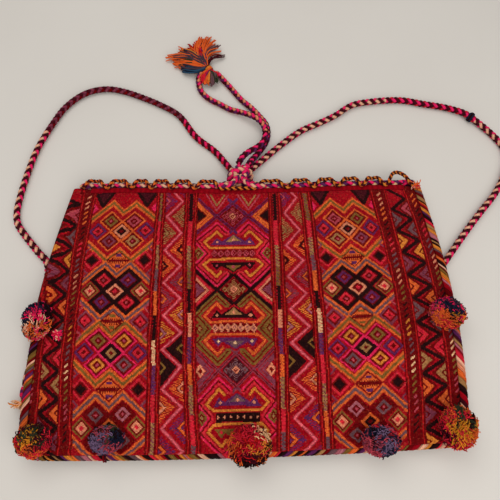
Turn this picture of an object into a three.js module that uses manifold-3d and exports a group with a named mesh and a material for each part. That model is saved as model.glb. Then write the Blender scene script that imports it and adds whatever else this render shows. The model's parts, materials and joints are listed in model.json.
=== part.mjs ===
// Woven shoulder bag, lying on its back on a flat surface.
//
// Two woven panels are joined along the sides and the bottom by a wrapped edging.
// The mouth is a hemmed rim with a scalloped braid on it. A drawstring runs through the
// scallops, round both corners, and its ends are tied into the knot at the front of the mouth.
// The same knot holds the two shoulder straps and the two tie cords with their tassel.
// Pompoms hang from the edging on their own tied yarns.
//
// Units are millimetres, +Z is up. The plan is laid out from the middle of the front rim:
// +Y leads out of the mouth, and the bag lies towards -Y. The whole is then moved so that the
// origin is under the middle of the bag, on the surface that it rests on.

import * as THREE from 'three';
import { mergeVertices } from 'three/addons/utils/BufferGeometryUtils.js';
import Module from 'manifold-3d';

const wasm = await Module();
wasm.setup();

// Gap between pieces that touch.
const clearance = 0.3;

// Panels.
const panelHeight = 253;
const rimHalfWidth = 177;
const baseHalfWidth = 194.6;
const sideBulge = 11;
const lean = 2.3;
const rimSideRise = 4.7;
const rimDip = 6.3;
const bottomSideRise = 11.5;
const bottomDip = 3.6;
const cornerRadius = 16;
const panelThickness = 2.6;

// How full the bag lies: the seam's height, the crown of the front and the lie of the back.
const seamHeight = 12.2;
const flange = 6;
const crownRise = 10;
const crownSideSpan = 120;
const crownBottomSpan = 110;
const rimDrop = 2;
const backSpan = 55;
const backRimLift = 6;
const rimZone = 40;
const backRimSet = 8;

// Distances from an edge at which the panels have a further row of points.
const nearRowInset = 28;
const middleRowInset = 42;
const outerRowInset = 90;
const lowRowHeight = 85;
const highRowHeight = 160;
const rimRowShares = [1, 0.65, 0.35];

// Wrapped edging: a channel that holds the edges of both panels.
const edgingWall = 1.1;
const edgingGrip = 5.5;
const edgingNose = 2.45;
const edgingNoseSteps = 4;

// Hem over each rim.
const hemDepth = 6;
const hemWall = 0.7;
const hemStartRow = 2;

// Drawstring and the scalloped braid that it runs through.
const drawstringRadius = 2.75;
const drawstringSides = 8;
const drawstringStep = 12;
const drawstringTurnInset = 9;
const drawstringTurnHeight = 4.2;
const drawstringTurnShare = 0.8;
const drawstringTurnSteps = 4;
const loopBraidRadius = 1.7;
const loopBraidSides = 6;
const loopBraidSteps = 10;
const loopBraidSlack = 0.8;
const loopValleyInset = 3;
const cornerLoopReach = 7;
const loopEndInset = 7;
const loopValleyShares = [
  0, 0.075, 0.151, 0.21, 0.273, 0.339, 0.421, 0.519, 0.618, 0.697, 0.77, 0.843, 0.913, 1,
];

// Knot at the front of the mouth: turns of cord drawn tight about a core.
const knotTurns = 3;
const knotTurnRadius = 9.4;
const knotCordRadius = 4;
const knotCoreRadius = 9.2;
const knotHeightShare = 0.86;
const knotTilt = 66;
const knotReach = 19.5;
const knotShift = 8.2;
const knotHeight = 12;
const knotTubeSides = 7;
const knotTurnSteps = 13;
const knotEntryShares = { x: 0.62, y: -0.66, z: 0.42 };

// Straps and tie cords.
const strapRadius = 3.7;
const strapSides = 10;
const strapStep = 18;
const tieCordRadius = 3.6;
const tieCordStep = 14;

// Sewn ends of the straps. A profile's shares are of a radius, then of a length.
const strapEndRadius = 4.1;
const strapEndLength = 12;
const strapEndTuft = 9;
const strapEndSides = 12;
const strapEndShare = 0.234;
const strapEndLeftInset = -4.4;
const strapEndRightInset = 12.5;
const strapEndLift = 0.2;
const strapEndLumpShares = [[0, 0], [0.86, 0], [1, 0.3], [1, 0.7], [0.7, 1]];
const strapEndTuftShares = [[0.95, 0.6], [0.5, 1], [0, 1]];

// Whipping over the place where the right strap is pieced.
const whippingLength = 5.5;
const whippingWall = 1;
const whippingSides = 12;

// Tassel on the tie cords.
const tasselNeckRadius = 6;
const tasselSkirtLength = 46;
const tasselSkirtHalfWidth = 23;
const tasselSkirtHalfHeight = 7.5;
const tasselRootRadius = 4.5;
const tasselHeadLength = 15;
const tasselHeadRadius = 6.1;
const tasselSides = 14;
const tasselSkirtTurn = 118;
const tasselHeadTurn = -88;
const tasselX = -45.4;
const tasselY = 165.2;
const tasselHeadShares = [[0, 0], [0.6, 0], [1, 0.45], [0.9, 0.85], [0.45, 1], [0, 1]];
const tasselRootShares = [[0, -1], [0.7, -0.7], [1, 0]];
const tasselSkirtShares = [[0.55, 0.25], [0.9, 0.55], [1, 0.8], [0.8, 0.95], [0, 1]];

// Pompoms: each has its place on the edging, its size and how far in from the edge it lies.
const pompomRadius = 18;
const pompomHeightShare = 0.62;
const pompomTieRadius = 0.9;
const pompomTieSides = 6;
const pompomTieSteps = 8;
const pompomTieWrap = 76;
const pompomTieDepthShare = 0.45;
const pompomSides = 14;
const pompomRings = 8;
const pompoms = [
  { name: 'left_side', edge: 'left', alongShare: 0.459, radiusShare: 0.83, insetShare: 0.45 },
  { name: 'left_corner', edge: 'left', alongShare: 0, radiusShare: 1, insetShare: 0.86 },
  { name: 'bottom_left', edge: 'bottom', alongShare: -0.617, radiusShare: 0.97, insetShare: 0.79 },
  { name: 'bottom_centre', edge: 'bottom', alongShare: 0, radiusShare: 1.2, insetShare: 0.26 },
  { name: 'bottom_right', edge: 'bottom', alongShare: 0.577, radiusShare: 0.97, insetShare: 0.42 },
  { name: 'right_corner', edge: 'right', alongShare: 0, radiusShare: 1.16, insetShare: 0.72 },
  { name: 'right_side', edge: 'right', alongShare: 0.437, radiusShare: 1, insetShare: 0.69 },
];

// Small tuft sewn to the front near the left edge.
const tuftRadius = 5;
const tuftHeightShare = 0.6;
const tuftInset = 25;
const tuftShare = 0.405;

// Routes of the straps and tie cords from the knot, as points on the plan with their height.
const strapLeftRoute = [
  [-17.6, 30.2, 8.8], [-25.1, 42, 5.6], [-35.5, 56, 4], [-57.4, 75.3, 4], [-77.9, 103.9, 4],
  [-99.4, 117.9, 4], [-119.2, 127.4, 4], [-138, 135, 4], [-156.7, 139.5, 4], [-171.2, 138.8, 4],
  [-185.4, 133.9, 4], [-197, 125.2, 4], [-208.1, 112, 4], [-216.7, 94.8, 4], [-229.6, 61.6, 4],
  [-236.1, 29.8, 4], [-239.9, -0.9, 4], [-240.3, -17.6, 4], [-237.3, -30.2, 4],
  [-229.3, -41.4, 4], [-211.1, -62.2, 4], [-201, -73, 4], [-198, -95, 4], [-198.5, -130, 4],
  [-200.5, -160, 4],
];
const strapRightUpperRoute = [
  [1.6, 29.5, 8.8], [9, 38.6, 5.6], [15.9, 45.8, 4], [36.2, 64.8, 4], [58.2, 82.6, 4],
  [80.4, 93.9, 4], [97.9, 103.5, 4], [117.9, 117.5, 4], [139.3, 122.3, 4],
  [173.5, 124.2, 4], [199, 119.1, 4], [224.3, 113.7, 4.2], [242.4, 105.8, 5.4],
];
const whippingPlace = [248.9, 100.1, 5.8];
const strapRightLowerRoute = [
  [256, 93.2, 5.4], [270.3, 77.7, 4.2], [279.5, 61.8, 4], [280.6, 43.5, 4],
  [274.6, 27.4, 4], [261.1, 5.2, 4], [242.6, -16.3, 4], [227, -34.9, 4], [211.7, -54.2, 4],
  [200.4, -68.8, 4], [192.5, -80, 4], [187, -100, 4], [184.5, -130, 4], [183.8, -155, 4],
];
const tieInnerRoute = [
  [-10.5, 31.5, 18.9], [-5.2, 42, 17.6], [2.4, 50, 15.8], [10, 56, 13.8], [16.7, 64.2, 12.4],
  [19.3, 75, 12.1], [16.9, 86.1, 12], [10, 94.2, 12], [0.6, 100.4, 10.4], [-10, 106.9, 6.4],
  [-19.8, 111.6, 4], [-33, 119.5, 4], [-44, 126, 4], [-53.5, 136.5, 4], [-56.6, 147, 4],
  [-56.6, 156, 4.4], [-52.6, 162.4, 5.4],
];
const tieOuterRoute = [
  [0.8, 31.7, 18.2], [3.8, 40.2, 12], [9.2, 50.5, 6.4], [15.2, 60.4, 4], [20.1, 70.2, 3.8],
  [21.8, 81.3, 3.8], [19.4, 92.7, 3.8], [12.6, 102.7, 3.8], [3.4, 114.2, 3.8], [-7, 124.4, 3.8],
  [-20.3, 142, 3.8], [-32.5, 157.5, 4.2], [-38.1, 163, 5.4],
];

// How finely curves are measured, and how far along an edge its direction is taken.
const curveDivisions = 40;
const probeShare = 0.01;
const seatRings = 6;
const seatSpokes = 16;

// Colours of the yarns.
const yarn = {
  crimson: 0x8e1626,
  darkRed: 0x6d0f1c,
  maroon: 0x4a1420,
  hotPink: 0xd5245f,
  orange: 0xd9622b,
  mustard: 0xc08a2c,
  navy: 0x20263f,
  slate: 0x5a6670,
  rose: 0xb9566b,
};
const fabric = (color, roughness) => new THREE.MeshStandardMaterial({ color, roughness, metalness: 0 });

// Small mathematics.
const clamp = THREE.MathUtils.clamp;
const lerp = THREE.MathUtils.lerp;
const radians = THREE.MathUtils.degToRad;
const easeOut = (x) => 1 - (1 - clamp(x, 0, 1)) ** 3;
const easeBoth = (x) => THREE.MathUtils.smoothstep(x, 0, 1);

// Plan of the bag. A place on it is its share across, -1 to 1, and its share up, 0 to 1.
const halfWidthAt = (up) => lerp(baseHalfWidth, rimHalfWidth, up) + sideBulge * Math.sin(Math.PI * up);
const bottomAt = (across) => (bottomSideRise / 2) * across + bottomDip * across ** 2 - panelHeight;
const rimAt = (across) => (rimSideRise / 2) * across + rimDip * across ** 2;

// Rounds the two bottom corners: squares about the corner's centre become arcs about it.
function planPoint(across, up) {
  const half = halfWidthAt(up);
  let out = Math.abs(across) * half - (half - cornerRadius);
  let down = cornerRadius - up * panelHeight;
  if (out > 0 && down > 0) {
    const pull = Math.max(out, down) / Math.hypot(out, down);
    out *= pull;
    down *= pull;
  }
  const x = Math.sign(across) * (half - cornerRadius + out) - lean * (1 - up);
  const share = (cornerRadius - down) / panelHeight;
  return new THREE.Vector2(x, lerp(bottomAt(across), rimAt(across), share));
}

// Heights of the two panels from the distance to the side seam and to the bottom seam.
const rimShareAt = (up) => easeBoth(1 - ((1 - up) * panelHeight) / rimZone);
function frontInnerHeight(fromSide, fromBottom) {
  const up = fromBottom / panelHeight;
  const fullAcross = easeOut((fromSide - flange) / crownSideSpan);
  const fullUp = easeOut((fromBottom - flange) / crownBottomSpan);
  const rise = crownRise - rimDrop * rimShareAt(up);
  return seamHeight + clearance / 2 + fullAcross * fullUp * rise;
}
function backOuterHeight(fromSide, fromBottom) {
  const up = fromBottom / panelHeight;
  const low = easeBoth((fromSide - flange) / backSpan) * easeBoth((fromBottom - flange) / backSpan);
  const edge = seamHeight - clearance / 2 - panelThickness;
  return edge * (1 - low) + low * backRimLift * rimShareAt(up);
}

// Places across and up where the panels have a row of points, so that edging and hem can
// follow the same rows.
const edgeSteps = [0, flange, cornerRadius, nearRowInset, middleRowInset, flange + backSpan];
const sideSteps = [...edgeSteps, outerRowInset, flange + crownSideSpan];
const riseSteps = [...edgeSteps, lowRowHeight, flange + crownBottomSpan, highRowHeight];
const rimSteps = [...rimRowShares.map((share) => share * rimZone), hemDepth, 0];
const ups = [
  ...riseSteps.map((step) => step / panelHeight),
  ...rimSteps.map((step) => 1 - step / panelHeight),
];
const hemUp = ups[ups.length - 2];

function acrossShares(up) {
  const half = halfWidthAt(up);
  const right = sideSteps.map((step) => 1 - step / half);
  return [...right.map((share) => -share), 0, ...[...right].reverse()];
}

const faces = {
  front: { outward: 1, set: 0 },
  back: { outward: -1, set: backRimSet },
};

// A point of a panel. Depth is 0 on the face that shows and 1 on the face inside the bag.
function panelPoint(face, across, up, depth) {
  const plan = planPoint(across, up);
  const fromSide = (1 - Math.abs(across)) * halfWidthAt(up);
  const fromBottom = up * panelHeight;
  const set = face.set * (1 - across ** 4) * rimShareAt(up);
  const height = face === faces.front
    ? frontInnerHeight(fromSide, fromBottom) + (1 - depth) * panelThickness
    : backOuterHeight(fromSide, fromBottom) + depth * panelThickness;
  return new THREE.Vector3(plan.x, plan.y - set, height);
}

// Turns the faces outward and gives the geometry its normals.
function finished(positions, indices) {
  const geometry = new THREE.BufferGeometry();
  geometry.setAttribute('position', new THREE.Float32BufferAttribute(positions, 3));
  const a = new THREE.Vector3();
  const b = new THREE.Vector3();
  const c = new THREE.Vector3();
  let volume = 0;
  for (let i = 0; i < indices.length; i += 3) {
    a.fromArray(positions, indices[i] * 3);
    b.fromArray(positions, indices[i + 1] * 3);
    c.fromArray(positions, indices[i + 2] * 3);
    volume += a.dot(b.cross(c));
  }
  geometry.setIndex(volume < 0 ? indices.slice().reverse() : indices);
  geometry.computeVertexNormals();
  return geometry;
}

// A closed body from rows of points: each row has points on one face and as many on the other.
function shellOf(rows) {
  const count = rows[0].outer.length;
  const positions = [];
  for (const row of rows) {
    for (const point of [...row.outer, ...row.inner]) positions.push(point.x, point.y, point.z);
  }
  const at = (row, side, k) => row * count * 2 + side * count + k;
  const indices = [];
  const quad = (p, q, r, s) => indices.push(p, q, r, p, r, s);
  const last = rows.length - 1;
  for (let row = 0; row < last; row += 1) {
    for (let k = 0; k < count - 1; k += 1) {
      quad(at(row, 0, k), at(row, 0, k + 1), at(row + 1, 0, k + 1), at(row + 1, 0, k));
      quad(at(row, 1, k), at(row + 1, 1, k), at(row + 1, 1, k + 1), at(row, 1, k + 1));
    }
    quad(at(row, 0, 0), at(row + 1, 0, 0), at(row + 1, 1, 0), at(row, 1, 0));
    const end = count - 1;
    quad(at(row, 0, end), at(row, 1, end), at(row + 1, 1, end), at(row + 1, 0, end));
  }
  for (let k = 0; k < count - 1; k += 1) {
    quad(at(0, 0, k), at(0, 1, k), at(0, 1, k + 1), at(0, 0, k + 1));
    quad(at(last, 0, k), at(last, 0, k + 1), at(last, 1, k + 1), at(last, 1, k));
  }
  return finished(positions, indices);
}

function panel(face) {
  return shellOf(ups.map((up) => {
    const shares = acrossShares(up);
    return {
      outer: shares.map((across) => panelPoint(face, across, up, 0)),
      inner: shares.map((across) => panelPoint(face, across, up, 1)),
    };
  }));
}

// The edging's route is the panels' own edge: down the left, along the bottom, up the right.
function edgeRoute() {
  const bottom = acrossShares(0);
  return [
    ...[...ups].reverse().map((up) => planPoint(-1, up)),
    ...bottom.slice(1, -1).map((across) => planPoint(across, 0)),
    ...ups.map((up) => planPoint(1, up)),
  ];
}
const route = edgeRoute();
const cornerEnd = ups.length + 1;
const routeEnd = route.length - 1;

// Direction along the route and outward from it, at one of its points.
function edgeFrame(index) {
  const before = route[Math.max(index - 1, 0)];
  const after = route[Math.min(index + 1, routeEnd)];
  const here = route[index];
  const arriving = here.clone().sub(before).normalize();
  const leaving = after.clone().sub(here).normalize();
  const along = arriving.add(leaving).normalize();
  return { here, along, outward: new THREE.Vector2(along.y, -along.x) };
}

// Section of the edging: a channel with a round nose, open towards the panels.
const seamHalf = panelThickness + clearance / 2;
const edgingInnerHalf = seamHalf + clearance;
const edgingHalf = edgingInnerHalf + edgingWall;
const noseCentre = edgingNose - edgingHalf;
function edgingSection() {
  const outer = [[-edgingGrip, -edgingHalf]];
  for (let k = 0; k <= edgingNoseSteps; k += 1) {
    const turn = Math.PI * (k / edgingNoseSteps - 1 / 2);
    outer.push([noseCentre + edgingHalf * Math.cos(turn), edgingHalf * Math.sin(turn)]);
  }
  outer.push([-edgingGrip, edgingHalf]);
  const inner = [
    [-edgingGrip, -edgingInnerHalf], [noseCentre, -edgingInnerHalf], [clearance, -edgingInnerHalf],
    [clearance, 0], [clearance, edgingInnerHalf], [noseCentre, edgingInnerHalf],
    [-edgingGrip, edgingInnerHalf],
  ];
  return { outer, inner };
}

function edging(from, to, trimStart, trimEnd) {
  const section = edgingSection();
  const rows = [];
  for (let index = from; index <= to; index += 1) {
    const { here, along, outward } = edgeFrame(index);
    const trim = (index === from ? trimStart : 0) - (index === to ? trimEnd : 0);
    const place = ([out, rise]) => new THREE.Vector3(
      here.x + outward.x * out + along.x * trim,
      here.y + outward.y * out + along.y * trim,
      seamHeight + rise,
    );
    rows.push({ outer: section.outer.map(place), inner: section.inner.map(place) });
  }
  return shellOf(rows);
}

// The hem folds over the rim and lies along both faces of its panel.
function hem(face) {
  const shares = acrossShares(1).slice(hemStartRow, -hemStartRow);
  const along = acrossShares(hemUp).slice(hemStartRow, -hemStartRow);
  const rows = shares.map((across, k) => {
    const corners = [
      panelPoint(face, along[k], hemUp, 0),
      panelPoint(face, across, 1, 0),
      panelPoint(face, across, 1, 1),
      panelPoint(face, along[k], hemUp, 1),
    ];
    const outwards = [face.outward, face.outward, -face.outward, -face.outward];
    const pastRim = [0, 1, 1, 0];
    const layer = (gap) => corners.map((corner, place) => corner.clone().add(
      new THREE.Vector3(0, pastRim[place] * gap, outwards[place] * gap),
    ));
    return { outer: layer(clearance + hemWall), inner: layer(clearance) };
  });
  return shellOf(rows);
}

// A tube along a curve, with a round section of the given number of sides.
function tube(curve, radius, sides, steps) {
  const section = new THREE.Shape();
  for (let k = 0; k < sides; k += 1) {
    const turn = (2 * Math.PI * k) / sides;
    const point = [radius * Math.cos(turn), radius * Math.sin(turn)];
    if (k === 0) section.moveTo(...point);
    else section.lineTo(...point);
  }
  section.closePath();
  return new THREE.ExtrudeGeometry(section, {
    extrudePath: curve,
    steps,
    bevelEnabled: false,
    curveSegments: 1,
  });
}

function smoothCurve(points) {
  const curve = new THREE.CatmullRomCurve3(points, false, 'centripetal');
  curve.arcLengthDivisions = points.length * curveDivisions;
  return curve;
}
const vectors = (points) => points.map((point) => new THREE.Vector3(...point));

// Middle of a rim's edge, where its hem folds over, straight between the panel's rows.
const rimShares = acrossShares(1);
function rimMiddle(face, across) {
  const after = rimShares.findIndex((share) => share > across);
  const edge = [after - 1, after].map((row) => {
    const outer = panelPoint(face, rimShares[row], 1, 0);
    return outer.lerp(panelPoint(face, rimShares[row], 1, 1), 1 / 2);
  });
  const share = (across - rimShares[after - 1]) / (rimShares[after] - rimShares[after - 1]);
  return edge[0].lerp(edge[1], share);
}

// The drawstring lies past the hem, level with the middle of the rim's edge. Near a corner of
// the mouth the two runs of it part by the height of the turn between them.
const drawstringReach = clearance + hemWall + clearance + drawstringRadius;
const turnShare = 1 - drawstringTurnInset / rimHalfWidth;
function drawstringPoint(face, across) {
  const point = rimMiddle(face, across).add(new THREE.Vector3(0, drawstringReach, 0));
  const parting = easeBoth((Math.abs(across) - drawstringTurnShare) / (turnShare - drawstringTurnShare));
  point.z = lerp(point.z, seamHeight + face.outward * drawstringTurnHeight, parting);
  return point;
}

// Round a corner of the mouth the drawstring turns from the front rim to the back rim.
function drawstringTurn(hand) {
  const past = drawstringPoint(faces.front, hand * turnShare);
  const points = [];
  for (let k = 0; k <= drawstringTurnSteps; k += 1) {
    const angle = Math.PI * (1 / 2 - k / drawstringTurnSteps);
    points.push(new THREE.Vector3(
      past.x + hand * drawstringTurnHeight * Math.cos(angle),
      past.y,
      seamHeight + drawstringTurnHeight * Math.sin(angle),
    ));
  }
  return points;
}

const knotCentre = new THREE.Vector3(-knotShift, knotReach, knotHeight);
const knotRadius = knotTurnRadius + knotCordRadius;
const knotLeaveShare = (2 * knotRadius) / rimHalfWidth;
function knotEntry(hand) {
  const { x, y, z } = knotEntryShares;
  const toward = new THREE.Vector3(hand * x, y, z).normalize();
  return toward.multiplyScalar(knotRadius + 2 * clearance).add(knotCentre);
}

function drawstringRoute() {
  const run = (face, from, to) => {
    const count = Math.max(2, Math.round((Math.abs(to - from) * rimHalfWidth) / drawstringStep));
    const points = [];
    for (let k = 0; k <= count; k += 1) points.push(drawstringPoint(face, lerp(from, to, k / count)));
    return points;
  };
  const nearTurn = turnShare - drawstringStep / rimHalfWidth;
  return [
    knotEntry(-1),
    ...run(faces.front, -knotLeaveShare - knotShift / rimHalfWidth, -nearTurn),
    ...drawstringTurn(-1),
    ...run(faces.back, -nearTurn, nearTurn),
    ...drawstringTurn(1).reverse(),
    ...run(faces.front, nearTurn, knotLeaveShare - knotShift / rimHalfWidth),
    knotEntry(1),
  ];
}

// Across a rim the scalloped braid starts on the hem, climbs over the drawstring and comes down
// beyond it. Share 0 is on the hem and 1 is beyond the drawstring.
const scallopRadius = drawstringRadius + loopBraidRadius + clearance + loopBraidSlack;
const valleyRise = panelThickness / 2 + clearance + hemWall + clearance + loopBraidRadius;
function scallopOffset(share, reach) {
  const flat = drawstringReach + loopValleyInset;
  const arc = (Math.PI / 2) * scallopRadius;
  const travelled = share * (flat + arc);
  if (travelled < flat) return [travelled - flat, lerp(valleyRise, scallopRadius, travelled / flat)];
  const turn = (travelled - flat) / scallopRadius;
  return [scallopRadius * Math.sin(turn) + reach * share ** 3, scallopRadius * Math.cos(turn)];
}

// A scallop stands out from the rim by a smooth wave from each valley to the next. The one at
// the knot lies flat under it, and the last one, at the right corner, is a tall open loop.
function loopBraid(face) {
  const span = 2 * (1 - loopEndInset / rimHalfWidth);
  const points = [];
  const scallops = loopValleyShares.length - 1;
  const knotShare = (span / 2 - knotShift / rimHalfWidth) / span;
  for (let k = 0; k < scallops; k += 1) {
    const from = loopValleyShares[k];
    const to = loopValleyShares[k + 1];
    const underKnot = face === faces.front && from < knotShare && knotShare < to;
    const tall = face === faces.front && k === scallops - 1;
    for (let step = k === 0 ? 0 : 1; step <= loopBraidSteps; step += 1) {
      const share = step / loopBraidSteps;
      const wave = underKnot ? 0 : (1 - Math.cos(2 * Math.PI * share)) / 2;
      const [out, rise] = scallopOffset(wave, tall ? cornerLoopReach : 0);
      const across = span * (lerp(from, to, share) - 1 / 2);
      points.push(drawstringPoint(face, across).add(new THREE.Vector3(0, out, face.outward * rise)));
    }
  }
  return tube(smoothCurve(points), loopBraidRadius, loopBraidSides, scallops * loopBraidSteps);
}

// Solids for cutting and joining.
function solidOf(geometry) {
  const bare = geometry.clone();
  bare.deleteAttribute('normal');
  bare.deleteAttribute('uv');
  const merged = mergeVertices(bare);
  return new wasm.Manifold(new wasm.Mesh({
    numProp: 3,
    vertProperties: new Float32Array(merged.attributes.position.array),
    triVerts: new Uint32Array(merged.index.array),
  }));
}
function geometryOf(solid) {
  const mesh = solid.getMesh();
  return finished(Array.from(mesh.vertProperties), Array.from(mesh.triVerts));
}

function knot() {
  let solid = solidOf(new THREE.SphereGeometry(knotCoreRadius, knotTurnSteps, knotTubeSides));
  for (let k = 0; k < knotTurns; k += 1) {
    const turn = new THREE.TorusGeometry(knotTurnRadius, knotCordRadius, knotTubeSides, knotTurnSteps);
    turn.rotateX(radians(knotTilt));
    turn.rotateZ((k * 2 * Math.PI) / knotTurns);
    solid = solid.add(solidOf(turn));
  }
  return geometryOf(solid).scale(1, 1, knotHeightShare);
}

// A body turned about the Y axis from its radii and places along it.
function turned(profile, sides) {
  const points = profile.map(([radius, along]) => new THREE.Vector2(radius, along));
  return new THREE.LatheGeometry(points, sides);
}
const profileOf = (shares, radius, length, start) => shares.map(
  ([wide, along]) => [wide * radius, start + along * length],
);

// Scene.
const bag = new THREE.Group();
const cordPieces = new Set();
function addPiece(parent, name, geometry, material) {
  const mesh = new THREE.Mesh(geometry, material);
  mesh.name = name;
  parent.add(mesh);
  return mesh;
}
function addCord(name, curve, radius, step, material) {
  const steps = Math.round(curve.getLength() / step);
  addPiece(bag, name, tube(curve, radius, strapSides, steps), material);
  cordPieces.add(name);
}

addPiece(bag, 'front_panel', panel(faces.front), fabric(yarn.crimson, 0.92));
addPiece(bag, 'back_panel', panel(faces.back), fabric(yarn.darkRed, 0.92));
addPiece(bag, 'left_edging', edging(0, cornerEnd, 0, clearance / 2), fabric(yarn.orange, 0.9));
addPiece(
  bag,
  'bottom_edging',
  edging(cornerEnd, routeEnd - cornerEnd, clearance / 2, clearance / 2),
  fabric(yarn.mustard, 0.9),
);
addPiece(
  bag,
  'right_edging',
  edging(routeEnd - cornerEnd, routeEnd, clearance / 2, 0),
  fabric(yarn.orange, 0.9),
);
addPiece(bag, 'front_rim_hem', hem(faces.front), fabric(yarn.darkRed, 0.9));
addPiece(bag, 'back_rim_hem', hem(faces.back), fabric(yarn.darkRed, 0.9));
addPiece(bag, 'front_loop_braid', loopBraid(faces.front), fabric(yarn.maroon, 0.88));
addPiece(bag, 'back_loop_braid', loopBraid(faces.back), fabric(yarn.maroon, 0.88));

const drawstringCurve = smoothCurve(drawstringRoute());
const drawstringSteps = Math.round(drawstringCurve.getLength() / drawstringStep);
addPiece(
  bag,
  'drawstring',
  tube(drawstringCurve, drawstringRadius, drawstringSides, drawstringSteps),
  fabric(yarn.hotPink, 0.88),
);
const knotMesh = addPiece(bag, 'centre_knot', knot(), fabric(yarn.hotPink, 0.88));
knotMesh.position.copy(knotCentre);

// A sewn strap end: a wrapped lump with a short tuft, pointing down the bag.
function strapEnd(name, across, inset) {
  const plan = planPoint(across, strapEndShare);
  const frame = new THREE.Group();
  const height = strapEndRadius + strapEndLift;
  frame.position.set(plan.x - across * inset, plan.y, height);
  frame.rotation.z = Math.PI;
  const lump = [
    ...profileOf(strapEndLumpShares, strapEndRadius, strapEndLength, 0),
    ...profileOf(strapEndTuftShares, strapEndRadius, strapEndTuft, strapEndLength),
  ];
  addPiece(frame, name, turned(lump, strapEndSides), fabric(yarn.rose, 0.9));
  bag.add(frame);
  return new THREE.Vector3(frame.position.x, frame.position.y + clearance, height);
}
const strapFinishLeft = strapEnd('strap_end_left', -1, strapEndLeftInset);
const strapFinishRight = strapEnd('strap_end_right', 1, strapEndRightInset);

const lead = new THREE.Vector3(0, 2 * strapRadius, 0);
const strapLeftCurve = smoothCurve([
  ...vectors(strapLeftRoute), strapFinishLeft.clone().add(lead), strapFinishLeft,
]);
const strapRightCurve = smoothCurve([
  ...vectors(strapRightUpperRoute), ...vectors([whippingPlace]), ...vectors(strapRightLowerRoute),
  strapFinishRight.clone().add(lead), strapFinishRight,
]);
const tieInnerCurve = smoothCurve(vectors(tieInnerRoute));
const tieOuterCurve = smoothCurve(vectors(tieOuterRoute));
addCord('strap_left', strapLeftCurve, strapRadius, strapStep, fabric(yarn.maroon, 0.88));
addCord('strap_right', strapRightCurve, strapRadius, strapStep, fabric(yarn.maroon, 0.88));
addCord('tie_cord_inner', tieInnerCurve, tieCordRadius, tieCordStep, fabric(yarn.hotPink, 0.88));
addCord('tie_cord_outer', tieOuterCurve, tieCordRadius, tieCordStep, fabric(yarn.hotPink, 0.88));

// The whipping is a ring round the right strap, where two lengths of cord are joined.
const whippingBore = strapRadius + 3 * clearance;
const whippingOuter = whippingBore + whippingWall;
const whipping = addPiece(bag, 'strap_whipping', turned([
  [whippingBore, -whippingLength / 2], [whippingOuter, -whippingLength / 3],
  [whippingOuter, whippingLength / 3], [whippingBore, whippingLength / 2],
  [whippingBore, -whippingLength / 2],
], whippingSides), fabric(yarn.navy, 0.9));
const [whippingBefore] = vectors(strapRightUpperRoute.slice(-1));
const [whippingAfter] = vectors(strapRightLowerRoute.slice(0, 1));
const whippingWay = whippingAfter.sub(whippingBefore);
whipping.position.set(...whippingPlace);
whipping.rotation.z = Math.atan2(whippingWay.y, whippingWay.x) - Math.PI / 2;
cordPieces.add('strap_whipping');

// Tassel: a bound neck, a head of short ends and a fanned skirt that can lift at the neck.
const tassel = new THREE.Group();
const tasselHeight = tasselNeckRadius + clearance;
tassel.position.set(tasselX, tasselY, tasselHeight);
bag.add(tassel);
addPiece(
  tassel,
  'tassel_neck',
  new THREE.SphereGeometry(tasselNeckRadius, tasselSides, tasselSides / 2),
  fabric(yarn.navy, 0.9),
);
const headStart = tasselNeckRadius + clearance;
const tasselHead = addPiece(
  tassel,
  'tassel_head',
  turned(profileOf(tasselHeadShares, tasselHeadRadius, tasselHeadLength, headStart), tasselSides),
  fabric(yarn.orange, 0.92),
);
tasselHead.rotation.z = radians(tasselHeadTurn) - Math.PI / 2;
const skirtPivot = tasselNeckRadius + clearance + tasselRootRadius;
const skirtTurn = radians(tasselSkirtTurn);
const skirtProfile = [
  ...profileOf(tasselRootShares, tasselRootRadius, tasselRootRadius, 0),
  ...profileOf(tasselSkirtShares, tasselSkirtHalfWidth, tasselSkirtLength, 0),
];
const skirt = addPiece(
  tassel,
  'tassel_skirt',
  turned(skirtProfile, tasselSides),
  fabric(yarn.orange, 0.92),
);
const skirtFlatShare = tasselSkirtHalfHeight / tasselSkirtHalfWidth;
skirt.geometry.scale(1, 1, skirtFlatShare);
skirt.position.set(skirtPivot * Math.cos(skirtTurn), skirtPivot * Math.sin(skirtTurn), 0);
skirt.position.z = tasselSkirtHalfHeight + clearance - tasselHeight;
skirt.rotation.z = skirtTurn - Math.PI / 2;
for (const name of ['tassel_neck', 'tassel_head', 'tassel_skirt']) cordPieces.add(name);

// Height at which a pompom rests on the front panel and the edging under it.
function seatHeight(fromSide, fromBottom, radius, halfHeight) {
  let seat = 0;
  for (let ring = 0; ring <= seatRings; ring += 1) {
    for (let spoke = 0; spoke < seatSpokes; spoke += 1) {
      const away = (radius * ring) / seatRings;
      const turn = (2 * Math.PI * spoke) / seatSpokes;
      const side = fromSide + away * Math.cos(turn);
      const rise = fromBottom + away * Math.sin(turn);
      const onPanel = frontInnerHeight(side, rise) + panelThickness;
      const onEdging = Math.min(side, rise) < edgingGrip ? seamHeight + edgingHalf : 0;
      const drop = halfHeight * Math.sqrt(1 - (away / radius) ** 2);
      seat = Math.max(seat, onPanel + drop, onEdging + drop);
    }
  }
  return seat + clearance;
}

// Where a pompom is tied on: a point on the edging's axis with the directions along and out.
function anchorOf({ edge, alongShare }) {
  if (edge === 'bottom') {
    const here = planPoint(alongShare, 0);
    const probe = planPoint(alongShare + probeShare, 0);
    const along = probe.sub(here).normalize();
    return { here, outward: new THREE.Vector2(along.y, -along.x) };
  }
  const across = edge === 'left' ? -1 : 1;
  const here = planPoint(across, alongShare);
  if (alongShare === 0) {
    const corner = new THREE.Vector2(across, -1).normalize();
    return { here, outward: corner };
  }
  const probe = planPoint(across, alongShare + probeShare);
  const along = probe.sub(here).normalize();
  return { here, outward: new THREE.Vector2(along.y * across, -along.x * across) };
}

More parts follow.
